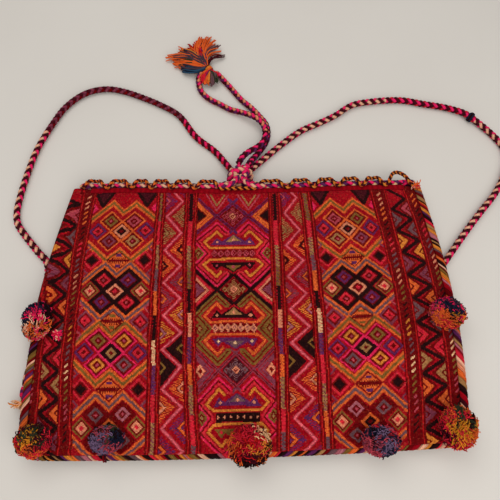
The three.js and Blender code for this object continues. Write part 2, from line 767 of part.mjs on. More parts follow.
const pompomColours = {
  left_side: yarn.navy,
  left_corner: yarn.mustard,
  bottom_left: yarn.rose,
  bottom_centre: yarn.crimson,
  bottom_right: yarn.navy,
  right_corner: yarn.orange,
  right_side: yarn.slate,
};

// A pompom and its tie share a frame: X along the edging, Y out from the bag, Z up. The tie
// wraps the edging's nose and runs into a socket in the pompom.
for (const entry of pompoms) {
  const radius = pompomRadius * entry.radiusShare;
  const halfHeight = radius * pompomHeightShare;
  const { here, outward } = anchorOf(entry);
  const inset = radius * entry.insetShare;
  const atCorner = entry.edge !== 'bottom' && entry.alongShare === 0;
  const sideInset = entry.edge === 'bottom' ? halfWidthAt(0) * (1 - Math.abs(entry.alongShare)) : inset;
  const bottomInset = entry.edge === 'bottom' || atCorner ? inset : entry.alongShare * panelHeight;
  const seat = seatHeight(sideInset, bottomInset, radius, halfHeight);
  const frame = new THREE.Group();
  frame.position.set(here.x + outward.x * noseCentre, here.y + outward.y * noseCentre, seamHeight);
  frame.rotation.z = Math.atan2(outward.y, outward.x) - Math.PI / 2;
  bag.add(frame);

  const inward = inset + noseCentre;
  const centre = new THREE.Vector3(0, -inward, seat - seamHeight);
  const wrapRadius = edgingHalf + clearance + pompomTieRadius;
  const wrap = [];
  for (let k = 0; k <= pompomTieSteps / 2; k += 1) {
    const turn = radians(pompomTieWrap) * (1 - (2 * k) / pompomTieSteps);
    wrap.push(new THREE.Vector3(0, wrapRadius * Math.sin(turn), wrapRadius * Math.cos(turn)));
  }
  const top = wrap[wrap.length - 1];
  const inside = top.clone().lerp(centre, 1 - pompomTieDepthShare);
  const tieCurve = smoothCurve([...wrap, inside]);
  addPiece(
    frame,
    `pompom_tie_${entry.name}`,
    tube(tieCurve, pompomTieRadius, pompomTieSides, pompomTieSteps),
    fabric(yarn.darkRed, 0.9),
  );
  const ball = new THREE.SphereGeometry(radius, pompomSides, pompomRings);
  ball.rotateX(Math.PI / 2);
  ball.scale(1, 1, pompomHeightShare);
  ball.translate(centre.x, centre.y, centre.z);
  const bore = tube(tieCurve, pompomTieRadius + clearance, pompomTieSides, pompomTieSteps);
  const boreEnd = new THREE.SphereGeometry(pompomTieRadius + 2 * clearance, pompomTieSides, pompomTieSides);
  boreEnd.translate(inside.x, inside.y, inside.z);
  const socket = solidOf(bore).add(solidOf(boreEnd));
  const pile = solidOf(ball).subtract(socket);
  addPiece(frame, `pompom_${entry.name}`, geometryOf(pile), fabric(pompomColours[entry.name], 0.95));
}

// Small tuft on the front panel.
const tuftPlan = planPoint(-1, tuftShare);
const tuftHalfHeight = tuftRadius * tuftHeightShare;
const tuft = addPiece(
  bag,
  'small_tuft',
  new THREE.SphereGeometry(tuftRadius, pompomSides, pompomRings).scale(1, 1, tuftHeightShare),
  fabric(yarn.hotPink, 0.95),
);
tuft.position.set(
  tuftPlan.x + tuftInset,
  tuftPlan.y,
  seatHeight(tuftInset, tuftShare * panelHeight, tuftRadius, tuftHalfHeight),
);

// The origin lies under the middle of the bag and what is fixed to it, cords left out.
bag.updateMatrixWorld(true);
const extent = new THREE.Box3();
bag.traverse((piece) => {
  if (piece.isMesh && !cordPieces.has(piece.name)) extent.expandByObject(piece, true);
});
const middle = extent.getCenter(new THREE.Vector3());
bag.position.set(-middle.x, -middle.y, -extent.min.z);

const shoulderBag = new THREE.Group();
shoulderBag.name = 'woven_shoulder_bag';
shoulderBag.add(bag);

export default shoulderBag;
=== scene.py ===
# %% [markdown]
# # A woven shoulder bag
# A pouch of flat-woven wool lies on its back. Its mouth is drawn with a braided string, two
# braided straps and two tie cords leave the knot, and pompoms hang along the edging. The packed
# model says where each of its solids is. It could be shown as it is, with a woollen material,
# but braid and pompoms are known by their single yarns. So this notebook dresses it piece by
# piece in yarn, and each piece stands for a node of the model and rides on that node's body.

import json
import math

import bmesh
import bpy
import numpy as np
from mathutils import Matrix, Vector


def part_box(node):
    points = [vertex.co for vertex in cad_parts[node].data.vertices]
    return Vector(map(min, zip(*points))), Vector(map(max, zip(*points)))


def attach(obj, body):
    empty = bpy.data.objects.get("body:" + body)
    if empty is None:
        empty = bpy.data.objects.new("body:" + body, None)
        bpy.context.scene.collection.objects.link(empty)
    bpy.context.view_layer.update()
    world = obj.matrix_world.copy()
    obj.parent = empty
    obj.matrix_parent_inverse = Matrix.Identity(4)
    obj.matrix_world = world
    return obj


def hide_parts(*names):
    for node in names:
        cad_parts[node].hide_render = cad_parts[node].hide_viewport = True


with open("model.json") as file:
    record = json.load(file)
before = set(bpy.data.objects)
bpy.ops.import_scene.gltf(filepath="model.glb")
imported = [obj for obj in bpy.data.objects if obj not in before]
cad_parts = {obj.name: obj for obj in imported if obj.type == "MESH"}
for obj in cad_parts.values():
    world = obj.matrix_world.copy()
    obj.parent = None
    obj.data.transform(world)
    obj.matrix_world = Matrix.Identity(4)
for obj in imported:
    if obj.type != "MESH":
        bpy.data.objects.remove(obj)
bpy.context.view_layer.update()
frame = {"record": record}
scene = bpy.context.scene
scene.view_settings.view_transform = "Standard"


# %% Pieces of the scene
def added(name, data):
    """A new object of the scene that shows a mesh, a lamp or a camera."""
    one = bpy.data.objects.new(name, data)
    scene.collection.objects.link(one)
    return one


def stands_for(piece, node, body="bag"):
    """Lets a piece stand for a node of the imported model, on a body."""
    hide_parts(node)
    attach(piece, body)


# %% [markdown]
# ## The camera
# The photograph looks down on the bag from above its lower edge, so the mouth is further away
# than the bottom and the sides seem to draw together. A camera could be turned by angles, but a
# place to stand and a place to look at are easier to find, and the lamps can use the same
# function.


# %% Camera
def aimed(one, place, aim):
    """Puts a camera or lamp at a place and turns it to look at another."""
    one.location = place
    one.rotation_euler = (Vector(aim) - Vector(place)).to_track_quat("-Z", "Y").to_euler()


camera = added("camera", bpy.data.cameras.new("camera"))
camera.data.lens = 38.74
camera.data.sensor_width = 36
camera.data.clip_start = 0.01
aimed(camera, (0.005526, -0.141965, 0.5101), (0.005526, 0.061035, 0))
scene.camera = camera
print("camera", [round(x, 3) for x in camera.location])

# %% [markdown]
# ## Drawing places and curves
# The bag was drawn in millimetres from the middle of its mouth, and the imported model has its
# origin under the middle of the whole bag. One function takes a place from the drawing to the
# model. Cords follow a smooth curve through a few places. Blender's own curves could carry a
# tube, but the yarns of a braid have to be found again at each ring, so the ring's two
# directions across the curve are worked out here, in such a way that they don't spin about it.

# %% Places of the drawing
drawing_origin = np.array([3.226, 118.535, 0.0])


def placed(points):
    """Places of the drawing, in millimetres, as places of the model, in metres."""
    return (np.asarray(points, float) + drawing_origin) / 1000


def drawn_box(node):
    """The lowest and the highest corner of a node in the drawing, and its middle."""
    low, high = (np.array(corner) * 1000 - drawing_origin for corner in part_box(node))
    return low, high, (low + high) / 2


def unit(rows):
    """The same directions, each one long."""
    return rows / np.linalg.norm(rows, axis=-1, keepdims=True)


# %% Curves
def smooth_curve(points, steps=16):
    """A smooth curve through points, as a close row of places."""
    points = np.asarray(points, float)
    points = np.vstack([2 * points[0] - points[1], points, 2 * points[-1] - points[-2]])
    row = []
    for p0, p1, p2, p3 in zip(points[:-3], points[1:-2], points[2:-1], points[3:]):
        t0, t1 = 0.0, np.linalg.norm(p1 - p0) ** 0.5
        t2 = t1 + np.linalg.norm(p2 - p1) ** 0.5
        t3 = t2 + np.linalg.norm(p3 - p2) ** 0.5
        t = np.linspace(t1, t2, steps, endpoint=False)[:, None]
        a1 = (t1 - t) / (t1 - t0) * p0 + (t - t0) / (t1 - t0) * p1
        a2 = (t2 - t) / (t2 - t1) * p1 + (t - t1) / (t2 - t1) * p2
        a3 = (t3 - t) / (t3 - t2) * p2 + (t - t2) / (t3 - t2) * p3
        b1 = (t2 - t) / (t2 - t0) * a1 + (t - t0) / (t2 - t0) * a2
        b2 = (t3 - t) / (t3 - t1) * a2 + (t - t1) / (t3 - t1) * a3
        row.append((t2 - t) / (t2 - t1) * b1 + (t - t1) / (t2 - t1) * b2)
    return np.vstack(row + [points[-2][None]])


def spaced(row, step):
    """The same curve with its places a step apart, and how far along it each one is."""
    gaps = np.linalg.norm(np.diff(row, axis=0), axis=1)
    run = np.concatenate([[0], np.cumsum(gaps)])
    along = np.linspace(0, run[-1], max(2, round(run[-1] / step) + 1))
    return np.stack([np.interp(along, run, row[:, k]) for k in range(3)], 1), along


def across_curve(row):
    """Two directions across the curve at each of its places, which turn with it."""
    way = np.gradient(row, axis=0)
    way /= np.linalg.norm(way, axis=1)[:, None]
    up = np.zeros_like(way)
    side = np.cross(way[0], [0, 0, 1.0])
    up[0] = np.cross(side / np.linalg.norm(side), way[0])
    for k in range(1, len(row)):
        up[k] = up[k - 1] - way[k] * up[k - 1].dot(way[k])
        up[k] /= np.linalg.norm(up[k])
    return np.cross(way, up), up


# %% [markdown]
# ## A skin of faces
# Cloth, braid and edging are all a net of small faces: flat for cloth, rolled up for a cord. A
# grid gives the net, and moving its corners gives it its form. Each face is one or a few
# stitches. The pattern could be painted by a material, but a woven pattern is counted stitch by
# stitch, so the colour of the yarn is kept face by face, as in the real weave.

# %% Yarn colours
YARN = {
    "ground": (0.60, 0.02, 0.085), "dark": (0.41, 0.012, 0.03), "line": (0.68, 0.075, 0.085),
    "black": (0.13, 0.04, 0.045), "orange": (0.84, 0.36, 0.15), "gold": (0.81, 0.47, 0.17),
    "olive": (0.47, 0.33, 0.14), "pink": (0.86, 0.11, 0.31), "coral": (0.79, 0.12, 0.19),
    "rose": (0.68, 0.24, 0.29), "salmon": (0.84, 0.50, 0.37), "cream": (0.88, 0.68, 0.50),
    "mauve": (0.48, 0.20, 0.27), "purple": (0.35, 0.13, 0.31), "slate": (0.40, 0.27, 0.29),
    "tan": (0.60, 0.42, 0.25), "maroon": (0.26, 0.05, 0.09), "navy": (0.11, 0.12, 0.20),
    "mustard": (0.80, 0.50, 0.12), "teal": (0.16, 0.28, 0.38), "green": (0.20, 0.22, 0.15),
    "peach": (0.88, 0.64, 0.52), "lilac": (0.42, 0.33, 0.44), "dusty": (0.66, 0.36, 0.40),
    "smoke": (0.27, 0.20, 0.24), "hot": (0.90, 0.13, 0.37), "blush": (0.86, 0.36, 0.40),
}
CODE = {name: k for k, name in enumerate(YARN)}
toe_end, toe_slope, lift, power = 0.04045, 12.92, 0.055, 2.4


def linear(c):
    """A share of light from the number that a screen is given for it."""
    return c / toe_slope if c < toe_end else ((c + lift) / (1 + lift)) ** power


SHADES = np.array([[linear(c) for c in shade] for shade in YARN.values()])


def codes(*names):
    """The numbers of some yarns, by name."""
    return np.array([CODE[name] for name in names])


print("yarns", len(YARN))

# %% Colours kept on the faces
chance = np.random.default_rng(11)


def of_faces(mesh, what):
    """A whole number of each face, such as how many corners it has."""
    row = np.empty(len(mesh.polygons), int)
    mesh.polygons.foreach_get(what, row)
    return row


def coloured(mesh, shades, spread=0.10):
    """Keeps a colour for each face, a little lighter or darker from face to face."""
    shades = shades * (1 + spread * chance.standard_normal((len(shades), 1))).clip(0.6, 1.4)
    sizes = of_faces(mesh, "loop_total")
    full = np.ones((sizes.sum(), 4))
    full[:, :3] = np.repeat(shades, sizes, axis=0).clip(0, 1)
    layer = mesh.color_attributes.new("yarn", "BYTE_COLOR", "CORNER")
    layer.data.foreach_set("color", full.ravel())


def middles(mesh):
    """The middle of each face on its UV map."""
    uv = np.empty(len(mesh.loops) * 2)
    mesh.uv_layers[0].data.foreach_get("uv", uv)
    starts, sizes = of_faces(mesh, "loop_start"), of_faces(mesh, "loop_total")
    return np.add.reduceat(uv.reshape(-1, 2), starts, axis=0) / sizes[:, None]


def smooth_piece(name, mesh, wool):
    """A piece of the scene with one material and smooth shading."""
    mesh.materials.append(wool)
    for face in mesh.polygons:
        face.use_smooth = True
    return added(name, mesh)


# %% Net of faces
weld = 1e-7  # corners closer than this, in metres, become one


def in_order(bm, first_count):
    """Puts the faces made after the first ones in order round the middle. Blender makes them in
    any order, and every run should give each of them the same colour."""
    def rank(face):
        if face.index < first_count:
            return face.index
        spot = face.calc_center_median()
        return first_count + 4 + math.atan2(spot.y, spot.x)
    bm.faces.index_update()
    bm.faces.sort(key=rank)


def net(name, across, along, place, paint, wool, rolled=False, back=None, spread=0.10):
    """A grid of faces whose corners place(u, v) moves and whose faces paint(u, v) colours.
    It is rolled into a closed tube, or its rim is drawn back a little to give it thickness."""
    bm = bmesh.new()
    bm.loops.layers.uv.new("UVMap")
    bmesh.ops.create_grid(bm, x_segments=across, y_segments=along, size=0.5, calc_uvs=True)
    spots = np.array([v.co[:2] for v in bm.verts]) + 0.5
    moved = place(spots[:, 0], spots[:, 1])
    for vert, spot in zip(bm.verts, moved):
        vert.co = spot
    if rolled:
        bmesh.ops.remove_doubles(bm, verts=bm.verts, dist=weld)
        bmesh.ops.holes_fill(bm, edges=bm.edges, sides=0)
        bmesh.ops.recalc_face_normals(bm, faces=bm.faces)
    if back is not None:
        flat_count = len(bm.faces)
        rim = [e for e in bm.edges if e.is_boundary]
        for new in bmesh.ops.extrude_edge_only(bm, edges=rim)["geom"]:
            if isinstance(new, bmesh.types.BMVert):
                new.co += Vector(back)
        in_order(bm, flat_count)
    mesh = bpy.data.meshes.new(name)
    bm.to_mesh(mesh)
    bm.free()
    spot = middles(mesh)
    coloured(mesh, paint(spot[:, 0], spot[:, 1]), spread)
    return smooth_piece(name, mesh, wool)


# %% [markdown]
# ## Materials
# All of it is wool. What differs is how the yarn lies: woven flat, braided, wrapped or loose.
# Each material takes its colour from the faces, lets it vary a little as hand-dyed wool does,
# and raises the fine fibres with a bump. A picture of cloth could be laid on instead, but it
# would repeat, and stretch where the bag curves. Here the sums of the material are written as
# Python sums: a small class wraps a socket, and its + and * add the Math nodes.


# %% Shader sums written as sums
class Sum:
    """A socket on which Python's own +, - and * add Math nodes."""

    def __init__(self, finish, socket):
        self.finish, self.socket = finish, socket

    def join(self, operation, first, second=None):
        """A Math node of one or two values."""
        return self.finish.node("ShaderNodeMath", {"operation": operation}, [first, second])[0]

    def wave(self, operation):
        """The sine or cosine of the value."""
        return self.join(operation, self)

    def __add__(self, other):
        return self.join("ADD", self, other)

    def __mul__(self, other):
        return self.join("MULTIPLY", self, other)

    def __rsub__(self, other):
        return self.join("SUBTRACT", other, self)

    __radd__ = __add__


class Finish:
    """A material under construction."""

    def __init__(self, name):
        self.material = bpy.data.materials.new(name)
        self.material.use_nodes = True
        self.tree = self.material.node_tree
        self.shader = self.tree.nodes["Principled BSDF"]

    def node(self, kind, settings=None, sockets=()):
        """Adds a node, sets it and fills its sockets, and gives its outputs."""
        node = self.tree.nodes.new(kind)
        for key, value in (settings or {}).items():
            setattr(node, key, value)
        pairs = sockets.items() if isinstance(sockets, dict) else enumerate(sockets)
        for key, value in pairs:
            self.feed(node.inputs[key], value)
        return [Sum(self, out) for out in node.outputs]

    def feed(self, socket, value):
        """Links a sum to a socket, or sets the socket to a value."""
        if isinstance(value, Sum):
            self.tree.links.new(value.socket, socket)
        elif value is not None:
            socket.default_value = value

    def finish(self, **sockets):
        """Feeds the shader's sockets and gives the material."""
        for key, value in sockets.items():
            self.feed(self.shader.inputs[key.replace("_", " ")], value)
        return self.material


# %% Wool
cloud_grain, fuzz_grain, strand_grain = 38.0, 900.0, 700.0  # how many to a metre
fibre_depth = 0.0006


def noise(wool, grain, detail):
    """Noise on the object's own coordinates."""
    place = wool.node("ShaderNodeTexCoord")[3]
    settings = {"Vector": place, "Scale": grain, "Detail": detail}
    return wool.node("ShaderNodeTexNoise", {}, settings)[0]


def woollen(name, ridges, bump):
    """Wool whose colour comes from its faces. ridges(wool) gives the height of the yarns."""
    wool = Finish(name)
    hue = wool.node("ShaderNodeVertexColor", {"layer_name": "yarn"})[0]
    cloud, fuzz = noise(wool, cloud_grain, 3.0), noise(wool, fuzz_grain, 2.0)
    value = 0.80 + cloud * 0.26 + fuzz * 0.14
    colour = wool.node("ShaderNodeHueSaturation", {}, {"Value": value, "Color": hue})[0]
    height = ridges(wool) + fuzz * 0.45
    normal = wool.node("ShaderNodeBump", {}, {
        "Strength": bump, "Distance": fibre_depth, "Height": height})[0]
    return wool.finish(Base_Color=colour, Roughness=0.82 + cloud * 0.16, Normal=normal,
                       Sheen_Weight=0.01, Sheen_Roughness=0.5, Specular_IOR_Level=0.03)


# %% Ridges of stitches and of twist
def on_map(wool):
    """Where a place is across and along the piece's UV map."""
    where = wool.node("ShaderNodeTexCoord")[2]
    return wool.node("ShaderNodeSeparateXYZ", {}, [where])[:2]


def stitched(across, along):
    """Rows of slanted stitches, so many across and along the UV map."""
    def ridges(wool):
        x, y = on_map(wool)
        row = y * (along * 2 * math.pi)
        stitch = x * (across * 2 * math.pi) + row * 0.5
        return 1.0 - (row.wave("COSINE") * 0.5 + stitch.wave("COSINE") * 0.35)
    return ridges


def plied(across, along):
    """Fine twist that runs slantwise over the UV map."""
    def ridges(wool):
        x, y = on_map(wool)
        turn = x * (across * 2 * math.pi) + y * (along * 2 * math.pi)
        return turn.wave("SINE") * 0.5
    return ridges


front_stitches, back_stitches = (388, 250), (260, 180)
woven = woollen("woven_wool", stitched(*front_stitches), 0.7)
plain_woven = woollen("plain_woven_wool", stitched(*back_stitches), 0.7)
loose = woollen("loose_yarn", lambda wool: noise(wool, strand_grain, 2.0), 0.6)
print("materials", [m.name for m in (woven, plain_woven, loose)])

# %% [markdown]
# ## The braided cords
# The drawstring, the straps and the tie cords are round braids of eight yarns: four wind to the
# right and four to the left, and each passes over two and under two. Where one passes over, it
# shows as a small raised diamond in its own colour. Eight tubes could be wound about the curve,
# but they would cut through each other at every crossing. So one closed tube is raised where
# the yarn on top lies, and coloured as that yarn. The places that the curves go through are
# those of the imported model, so each cord lies where its solid does.

# %% A round braid
ring_gap, braid_relief, braid_seam = 0.5, 0.30, 1 / 16
# The second number is the share of colour left in the painted shade where braided yarns meet.
plied_width, painted_gap_shade = 1.6, 0.45


def braid(name, points, radius, runs, pitch, sides=24, roll=0.0):
    """A round braid of eight along a curve. Each yarn goes over two and under two. pitch is the
    length in which it goes once round. Each of the runs has a share of the length where it ends,
    the two yarns that wind to the right in turn and the two that wind to the left. roll turns
    the braid about its own curve."""
    row, along = spaced(smooth_curve(points), ring_gap)
    side, up = across_curve(row)
    length = along[-1]
    ends = np.array([end for end, _, _ in runs])
    right = np.array([codes(*names) for _, names, _ in runs])
    left = np.array([codes(*names) for _, _, names in runs])

    def lattice(u, v):
        """Which yarn of each hand passes here, which one is on top, and where on it this is."""
        way = v * length / pitch
        a, b = 4 * (u + way), 4 * (u - way)
        i, j = np.floor(a).astype(int), np.floor(b).astype(int)
        column = (i + j) % 4
        over = column < 2
        across = np.where(over, a - i, b - j)
        float_share = np.where(over, b - j + column, a - i + column - 2) / 2
        return i, j, over, across, float_share

    def place(u, v):
        _, _, _, across, float_share = lattice(u, v)
        crown = 0.35 + 0.65 * np.sin(np.pi * float_share)
        rise = np.sqrt(np.sin(np.pi * across).clip(0)) * crown
        ring = np.rint(v * (len(row) - 1)).astype(int)
        turn = 2 * np.pi * (u - braid_seam) + roll + 0.3 * np.sin(v * length / 31)
        closing = np.minimum(1, np.minimum(v, 1 - v) * length / (0.5 * radius)) ** 0.5
        reach = radius * (1 - braid_relief + braid_relief * rise) * np.maximum(closing, 0.02)
        out = side[ring] * np.cos(turn)[:, None] + up[ring] * np.sin(turn)[:, None]
        return placed(row[ring] + out * reach[:, None])

    def paint(u, v):
        i, j, over, across, float_share = lattice(u, v)
        run = np.searchsorted(ends, v + 0.02 * np.sin(40 * v)).clip(0, len(runs) - 1)
        from_end = 1.6 * np.minimum(float_share, 1 - float_share)
        edge = np.minimum(np.minimum(across, 1 - across), from_end)
        shades = SHADES[np.where(over, right[run, i % 2], left[run, j % 2])]
        # Each raised diamond grows darker towards its edges: painted shade in the gaps between the
        # yarns.
        return shades * (painted_gap_shade + (1 - painted_gap_shade) * np.clip(edge / 0.28, 0, 1))[:, None]

    wool = woollen(name + "_wool", plied(12, length / plied_width), 0.5)
    piece = net(name, sides, len(row) - 1, place, paint, wool, rolled=True)
    path = row[:: max(1, round(radius / ring_gap))]
    if np.linalg.norm(path[-1] - row[-1]) > radius / 2:
        path = np.vstack([path, row[-1:]])
    return piece, placed(path), length / 1000


def lay_cord(node, name, points, radius, runs, pitch, slot, **more):
    """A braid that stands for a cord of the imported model."""
    piece, path, length = braid(name, points, radius, runs, pitch, **more)
    stands_for(piece, node)
    2 * radius / 1000
    print(name, "length", round(length * 1000, 1), "mm")


# %% Straps
strap_left_route = [
    (-17.6, 30.2, 8.8), (-25.1, 42, 5.6), (-35.5, 56, 4), (-57.4, 75.3, 4), (-77.9, 103.9, 4),
    (-99.4, 117.9, 4), (-119.2, 127.4, 4), (-138, 135, 4), (-156.7, 139.5, 4), (-171.2, 138.8, 4),
    (-185.4, 133.9, 4), (-197, 125.2, 4), (-208.1, 112, 4), (-216.7, 94.8, 4), (-229.6, 61.6, 4),
    (-236.1, 29.8, 4), (-239.9, -0.9, 4), (-240.3, -17.6, 4), (-237.3, -30.2, 4),
    (-229.3, -41.4, 4), (-211.1, -62.2, 4), (-201, -73, 4), (-198, -95, 4), (-198.5, -130, 4),
    (-200.5, -160, 4),
]
strap_right_route = [
    (1.6, 29.5, 8.8), (9, 38.6, 5.6), (15.9, 45.8, 4), (36.2, 64.8, 4), (58.2, 82.6, 4),
    (80.4, 93.9, 4), (97.9, 103.5, 4), (117.9, 117.5, 4), (139.3, 122.3, 4),
    (173.5, 124.2, 4), (199, 119.1, 4), (224.3, 113.7, 4.2), (242.4, 105.8, 5.4),
    (248.9, 100.1, 5.8), (256, 93.2, 5.4), (270.3, 77.7, 4.2), (279.5, 61.8, 4),
    (280.6, 43.5, 4), (274.6, 27.4, 4), (261.1, 5.2, 4), (242.6, -16.3, 4), (227, -34.9, 4),
    (211.7, -54.2, 4), (200.4, -68.8, 4), (192.5, -80, 4), (187, -100, 4), (184.5, -130, 4),
    (183.8, -155, 4),
]
strap_radius, strap_pitch = 3.7, 18.8


def strap_finish(node):
    """Where a strap enters its sewn end: the top middle of that end, in the drawing."""
    _, high, middle = drawn_box(node)
    top = np.array([middle[0], high[1], middle[2]])
    return [tuple(top + (0, 2 * strap_radius, 0)), tuple(top)]


far_arch = (("mauve", "maroon"), ("dark", "mauve"))
near_knot = (("hot", "maroon"), ("coral", "maroon"))
paired = (("peach", "maroon"), ("hot", "maroon"))
for hand, route, strap_runs, roll in (
    ("left", strap_left_route, [(0.15, *near_knot), (0.50, *far_arch), (1, *paired)], 0.6),
    ("right", strap_right_route, [(0.30, *paired), (0.48, *near_knot), (1, *paired)], 0.0),
):
    lay_cord("strap_" + hand, hand + "_strap_braid", route + strap_finish("strap_end_" + hand),
             strap_radius, strap_runs, strap_pitch, "maroon_braid", roll=roll)


# %% Tie cords
tie_inner_route = [
    (-10.5, 31.5, 18.9), (-5.2, 42, 17.6), (2.4, 50, 15.8), (10, 56, 13.8), (16.7, 64.2, 12.4),
    (19.3, 75, 12.1), (16.9, 86.1, 12), (10, 94.2, 12), (0.6, 100.4, 10.4), (-10, 106.9, 6.4),
    (-19.8, 111.6, 4), (-33, 119.5, 4), (-44, 126, 4), (-53.5, 136.5, 4), (-56.6, 147, 4),
    (-56.6, 156, 4.4), (-52.6, 162.4, 5.4),
]
tie_outer_route = [
    (0.8, 31.7, 18.2), (3.8, 40.2, 12), (9.2, 50.5, 6.4), (15.2, 60.4, 4), (20.1, 70.2, 3.8),
    (21.8, 81.3, 3.8), (19.4, 92.7, 3.8), (12.6, 102.7, 3.8), (3.4, 114.2, 3.8),
    (-7, 124.4, 3.8), (-20.3, 142, 3.8), (-32.5, 157.5, 4.2), (-38.1, 163, 5.4),
]
tie_radius, tie_pitch = 3.6, 20.8
tie_yarns = [(0.3, ("hot", "maroon"), ("purple", "maroon")),
             (1, ("hot", "salmon"), ("maroon", "purple"))]
for which, route, roll in (("inner", tie_inner_route, 0.7), ("outer", tie_outer_route, 0.5)):
    lay_cord("tie_cord_" + which, which + "_tie_braid", route, tie_radius, tie_yarns, tie_pitch,
             "pink_braid", roll=roll)


# %% [markdown]
# ## The form of the pouch
# Two panels of cloth meet in the edging at the sides and the bottom. The pouch isn't stuffed,
# but its layers hold it up in a low crown that drops a little towards the mouth. The plan is
# wider at the bottom than at the rim, with rounded lower corners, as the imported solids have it.
# Simulated cloth would settle near this form, but not on it, and the edging and the hems have
# to follow the same edge. So the form is a sum of soft steps, the same ones that drew the solids.

# %% Plan of the panels
panel_height, seam_height, panel_thickness, clearance = 253, 12.2, 2.6, 0.3
rim_half, base_half, corner_radius = 177, 194.6, 16
side_bulge, plan_lean = 11, 2.3
bottom_slope, bottom_bow, rim_slope, rim_bow = 5.75, 3.6, 2.35, 6.3


def ease_out(x):
    """From 0 to 1, fast at first."""
    return 1 - (1 - np.clip(x, 0, 1)) ** 3


def ease_both(x):
    """From 0 to 1, slow at both ends."""
    x = np.clip(x, 0, 1)
    return x * x * (3 - 2 * x)


def half_width(up):
    """Half of the width at a share of the height."""
    return base_half + (rim_half - base_half) * up + side_bulge * np.sin(np.pi * up)


def plan(across, up):
    """Place on the plan for shares across and up, with the lower corners rounded."""
    half = half_width(up)
    out = abs(across) * half - (half - corner_radius)
    down = corner_radius - up * panel_height
    both = (out > 0) & (down > 0)
    pull = np.where(both, np.maximum(out, down) / np.hypot(out, down).clip(1e-9), 1)
    out, down = out * pull, down * pull
    share = (corner_radius - down) / panel_height
    low = bottom_slope * across + bottom_bow * across**2 - panel_height
    high = rim_slope * across + rim_bow * across**2
    x = np.sign(across) * (half - corner_radius + out) - plan_lean * (1 - up)
    return x, low + (high - low) * share


# %% Heights of the panels
flange, crown_side_span, crown_bottom_span, back_span = 6, 120, 110, 55
crown_rise, rim_drop, back_rim_lift, back_rim_set, rim_zone = 10, 2, 6, 8, 40


def near_rim(up):
    """1 at the rim and 0 from some way below it."""
    return ease_both(1 - (1 - up) * panel_height / rim_zone)


def past_flange(across, up):
    """How far it is from the flat flange in the edging, at the side and at the bottom."""
    return (1 - abs(across)) * half_width(up) - flange, up * panel_height - flange


def front_height(across, up):
    """Height of the front's inner face."""
    from_side, from_bottom = past_flange(across, up)
    full = ease_out(from_side / crown_side_span) * ease_out(from_bottom / crown_bottom_span)
    return seam_height + clearance / 2 + full * (crown_rise - rim_drop * near_rim(up))


def back_height(across, up):
    """Height of the back's outer face."""
    from_side, from_bottom = past_flange(across, up)
    low = ease_both(from_side / back_span) * ease_both(from_bottom / back_span)
    edge = seam_height - clearance / 2 - panel_thickness
    return edge * (1 - low) + low * back_rim_lift * near_rim(up)


def face_point(face, across, up, off=0.0):
    """A point of the front or back cloth's face that shows, or off it by some millimetres."""
    x, y = plan(across, up)
    if face == "front":
        return np.stack([x, y, front_height(across, up) + panel_thickness + off], 1)
    y = y - back_rim_set * (1 - across**4) * near_rim(up)
    return np.stack([x, y, back_height(across, up) - off], 1)


print("rim", 2 * rim_half, "mm, base", 2 * base_half, "mm, height", panel_height, "mm")

# %% [markdown]
# ## The woven front
# The front is woven in warp stripes, with the ornament worked stitch by stitch. It could be
# drawn by a material as sums of waves, but no sum gives hooks, nested diamonds and changing
# colours. So it is made in the way that it is woven: every face of the net is a stitch, and a
# motif colours the stitches that it covers, the later ones over the earlier. The measures are
# in millimetres, X across from the middle of a stripe and Y up from its foot.


# %% A band of stitches
class Band:
    """The stitches of one stripe. x runs across from its middle and y up from its foot, in mm."""

    def __init__(self, x, y, half):
        self.x, self.y, self.half = x, y, half
        self.code = np.full(x.shape, CODE["ground"], int)

    def paint(self, mask, yarn):
        """Gives the stitches of a mask a yarn."""
        self.code[mask] = CODE[yarn]

    def nest(self, at, size, layers):
        """Diamonds in one another, from the outside in: (share of the size, yarn)."""
        away = abs(self.x - at[0]) / size[0] + abs(self.y - at[1]) / size[1]
        for share, yarn in layers:
            self.paint(away < share, yarn)

    def stroke(self, points, width, yarn, mirror=False):
        """A line of some width through points, and its mirror image if asked for."""
        for hand in ((1, -1) if mirror else (1,)):
            for (x0, y0), (x1, y1) in zip(points[:-1], points[1:]):
                dx, dy = x1 - x0, y1 - y0
                px, py = hand * self.x - x0, self.y - y0
                t = np.clip((px * dx + py * dy) / (dx * dx + dy * dy), 0, 1)
                self.paint(np.hypot(px - t * dx, py - t * dy) < width / 2, yarn)

    def fill(self, points, yarn, mirror=False):
        """The inside of a row of corners, and its mirror image if asked for."""
        for hand in ((1, -1) if mirror else (1,)):
            x, y = hand * self.x, self.y
            inside = np.zeros(x.shape, bool)
            for (x0, y0), (x1, y1) in zip(points, points[1:] + points[:1]):
                if y0 != y1:
                    inside ^= ((y0 > y) != (y1 > y)) & (x < (x1 - x0) * (y - y0) / (y1 - y0) + x0)
            self.paint(inside, yarn)


# %% [markdown]
# ### Medallions
# The two broad stripes carry medallions: a lattice of small diamonds inside a zigzag band, with
# a small filled diamond between one medallion and the next. Drawn stroke by stroke they would
# be long lists of corners. Each is a nest instead: diamonds in one another, from the outside in.

# %% Medallions
lattice_step, lattice_rise, lattice_size = 12, 10.8, (12.2, 11)
ZIGZAG_INSETS = (0, 2.2, 5.2, 7.8)
END_DIAMONDS = {
    "purple": [(1.08, "ground"), (1.0, "purple"), (0.72, "dark"), (0.56, "coral"), (0.24, "dark")],
    "olive": [(1.08, "ground"), (1.0, "olive"), (0.82, "dark"), (0.58, "salmon"), (0.27, "coral")],
}


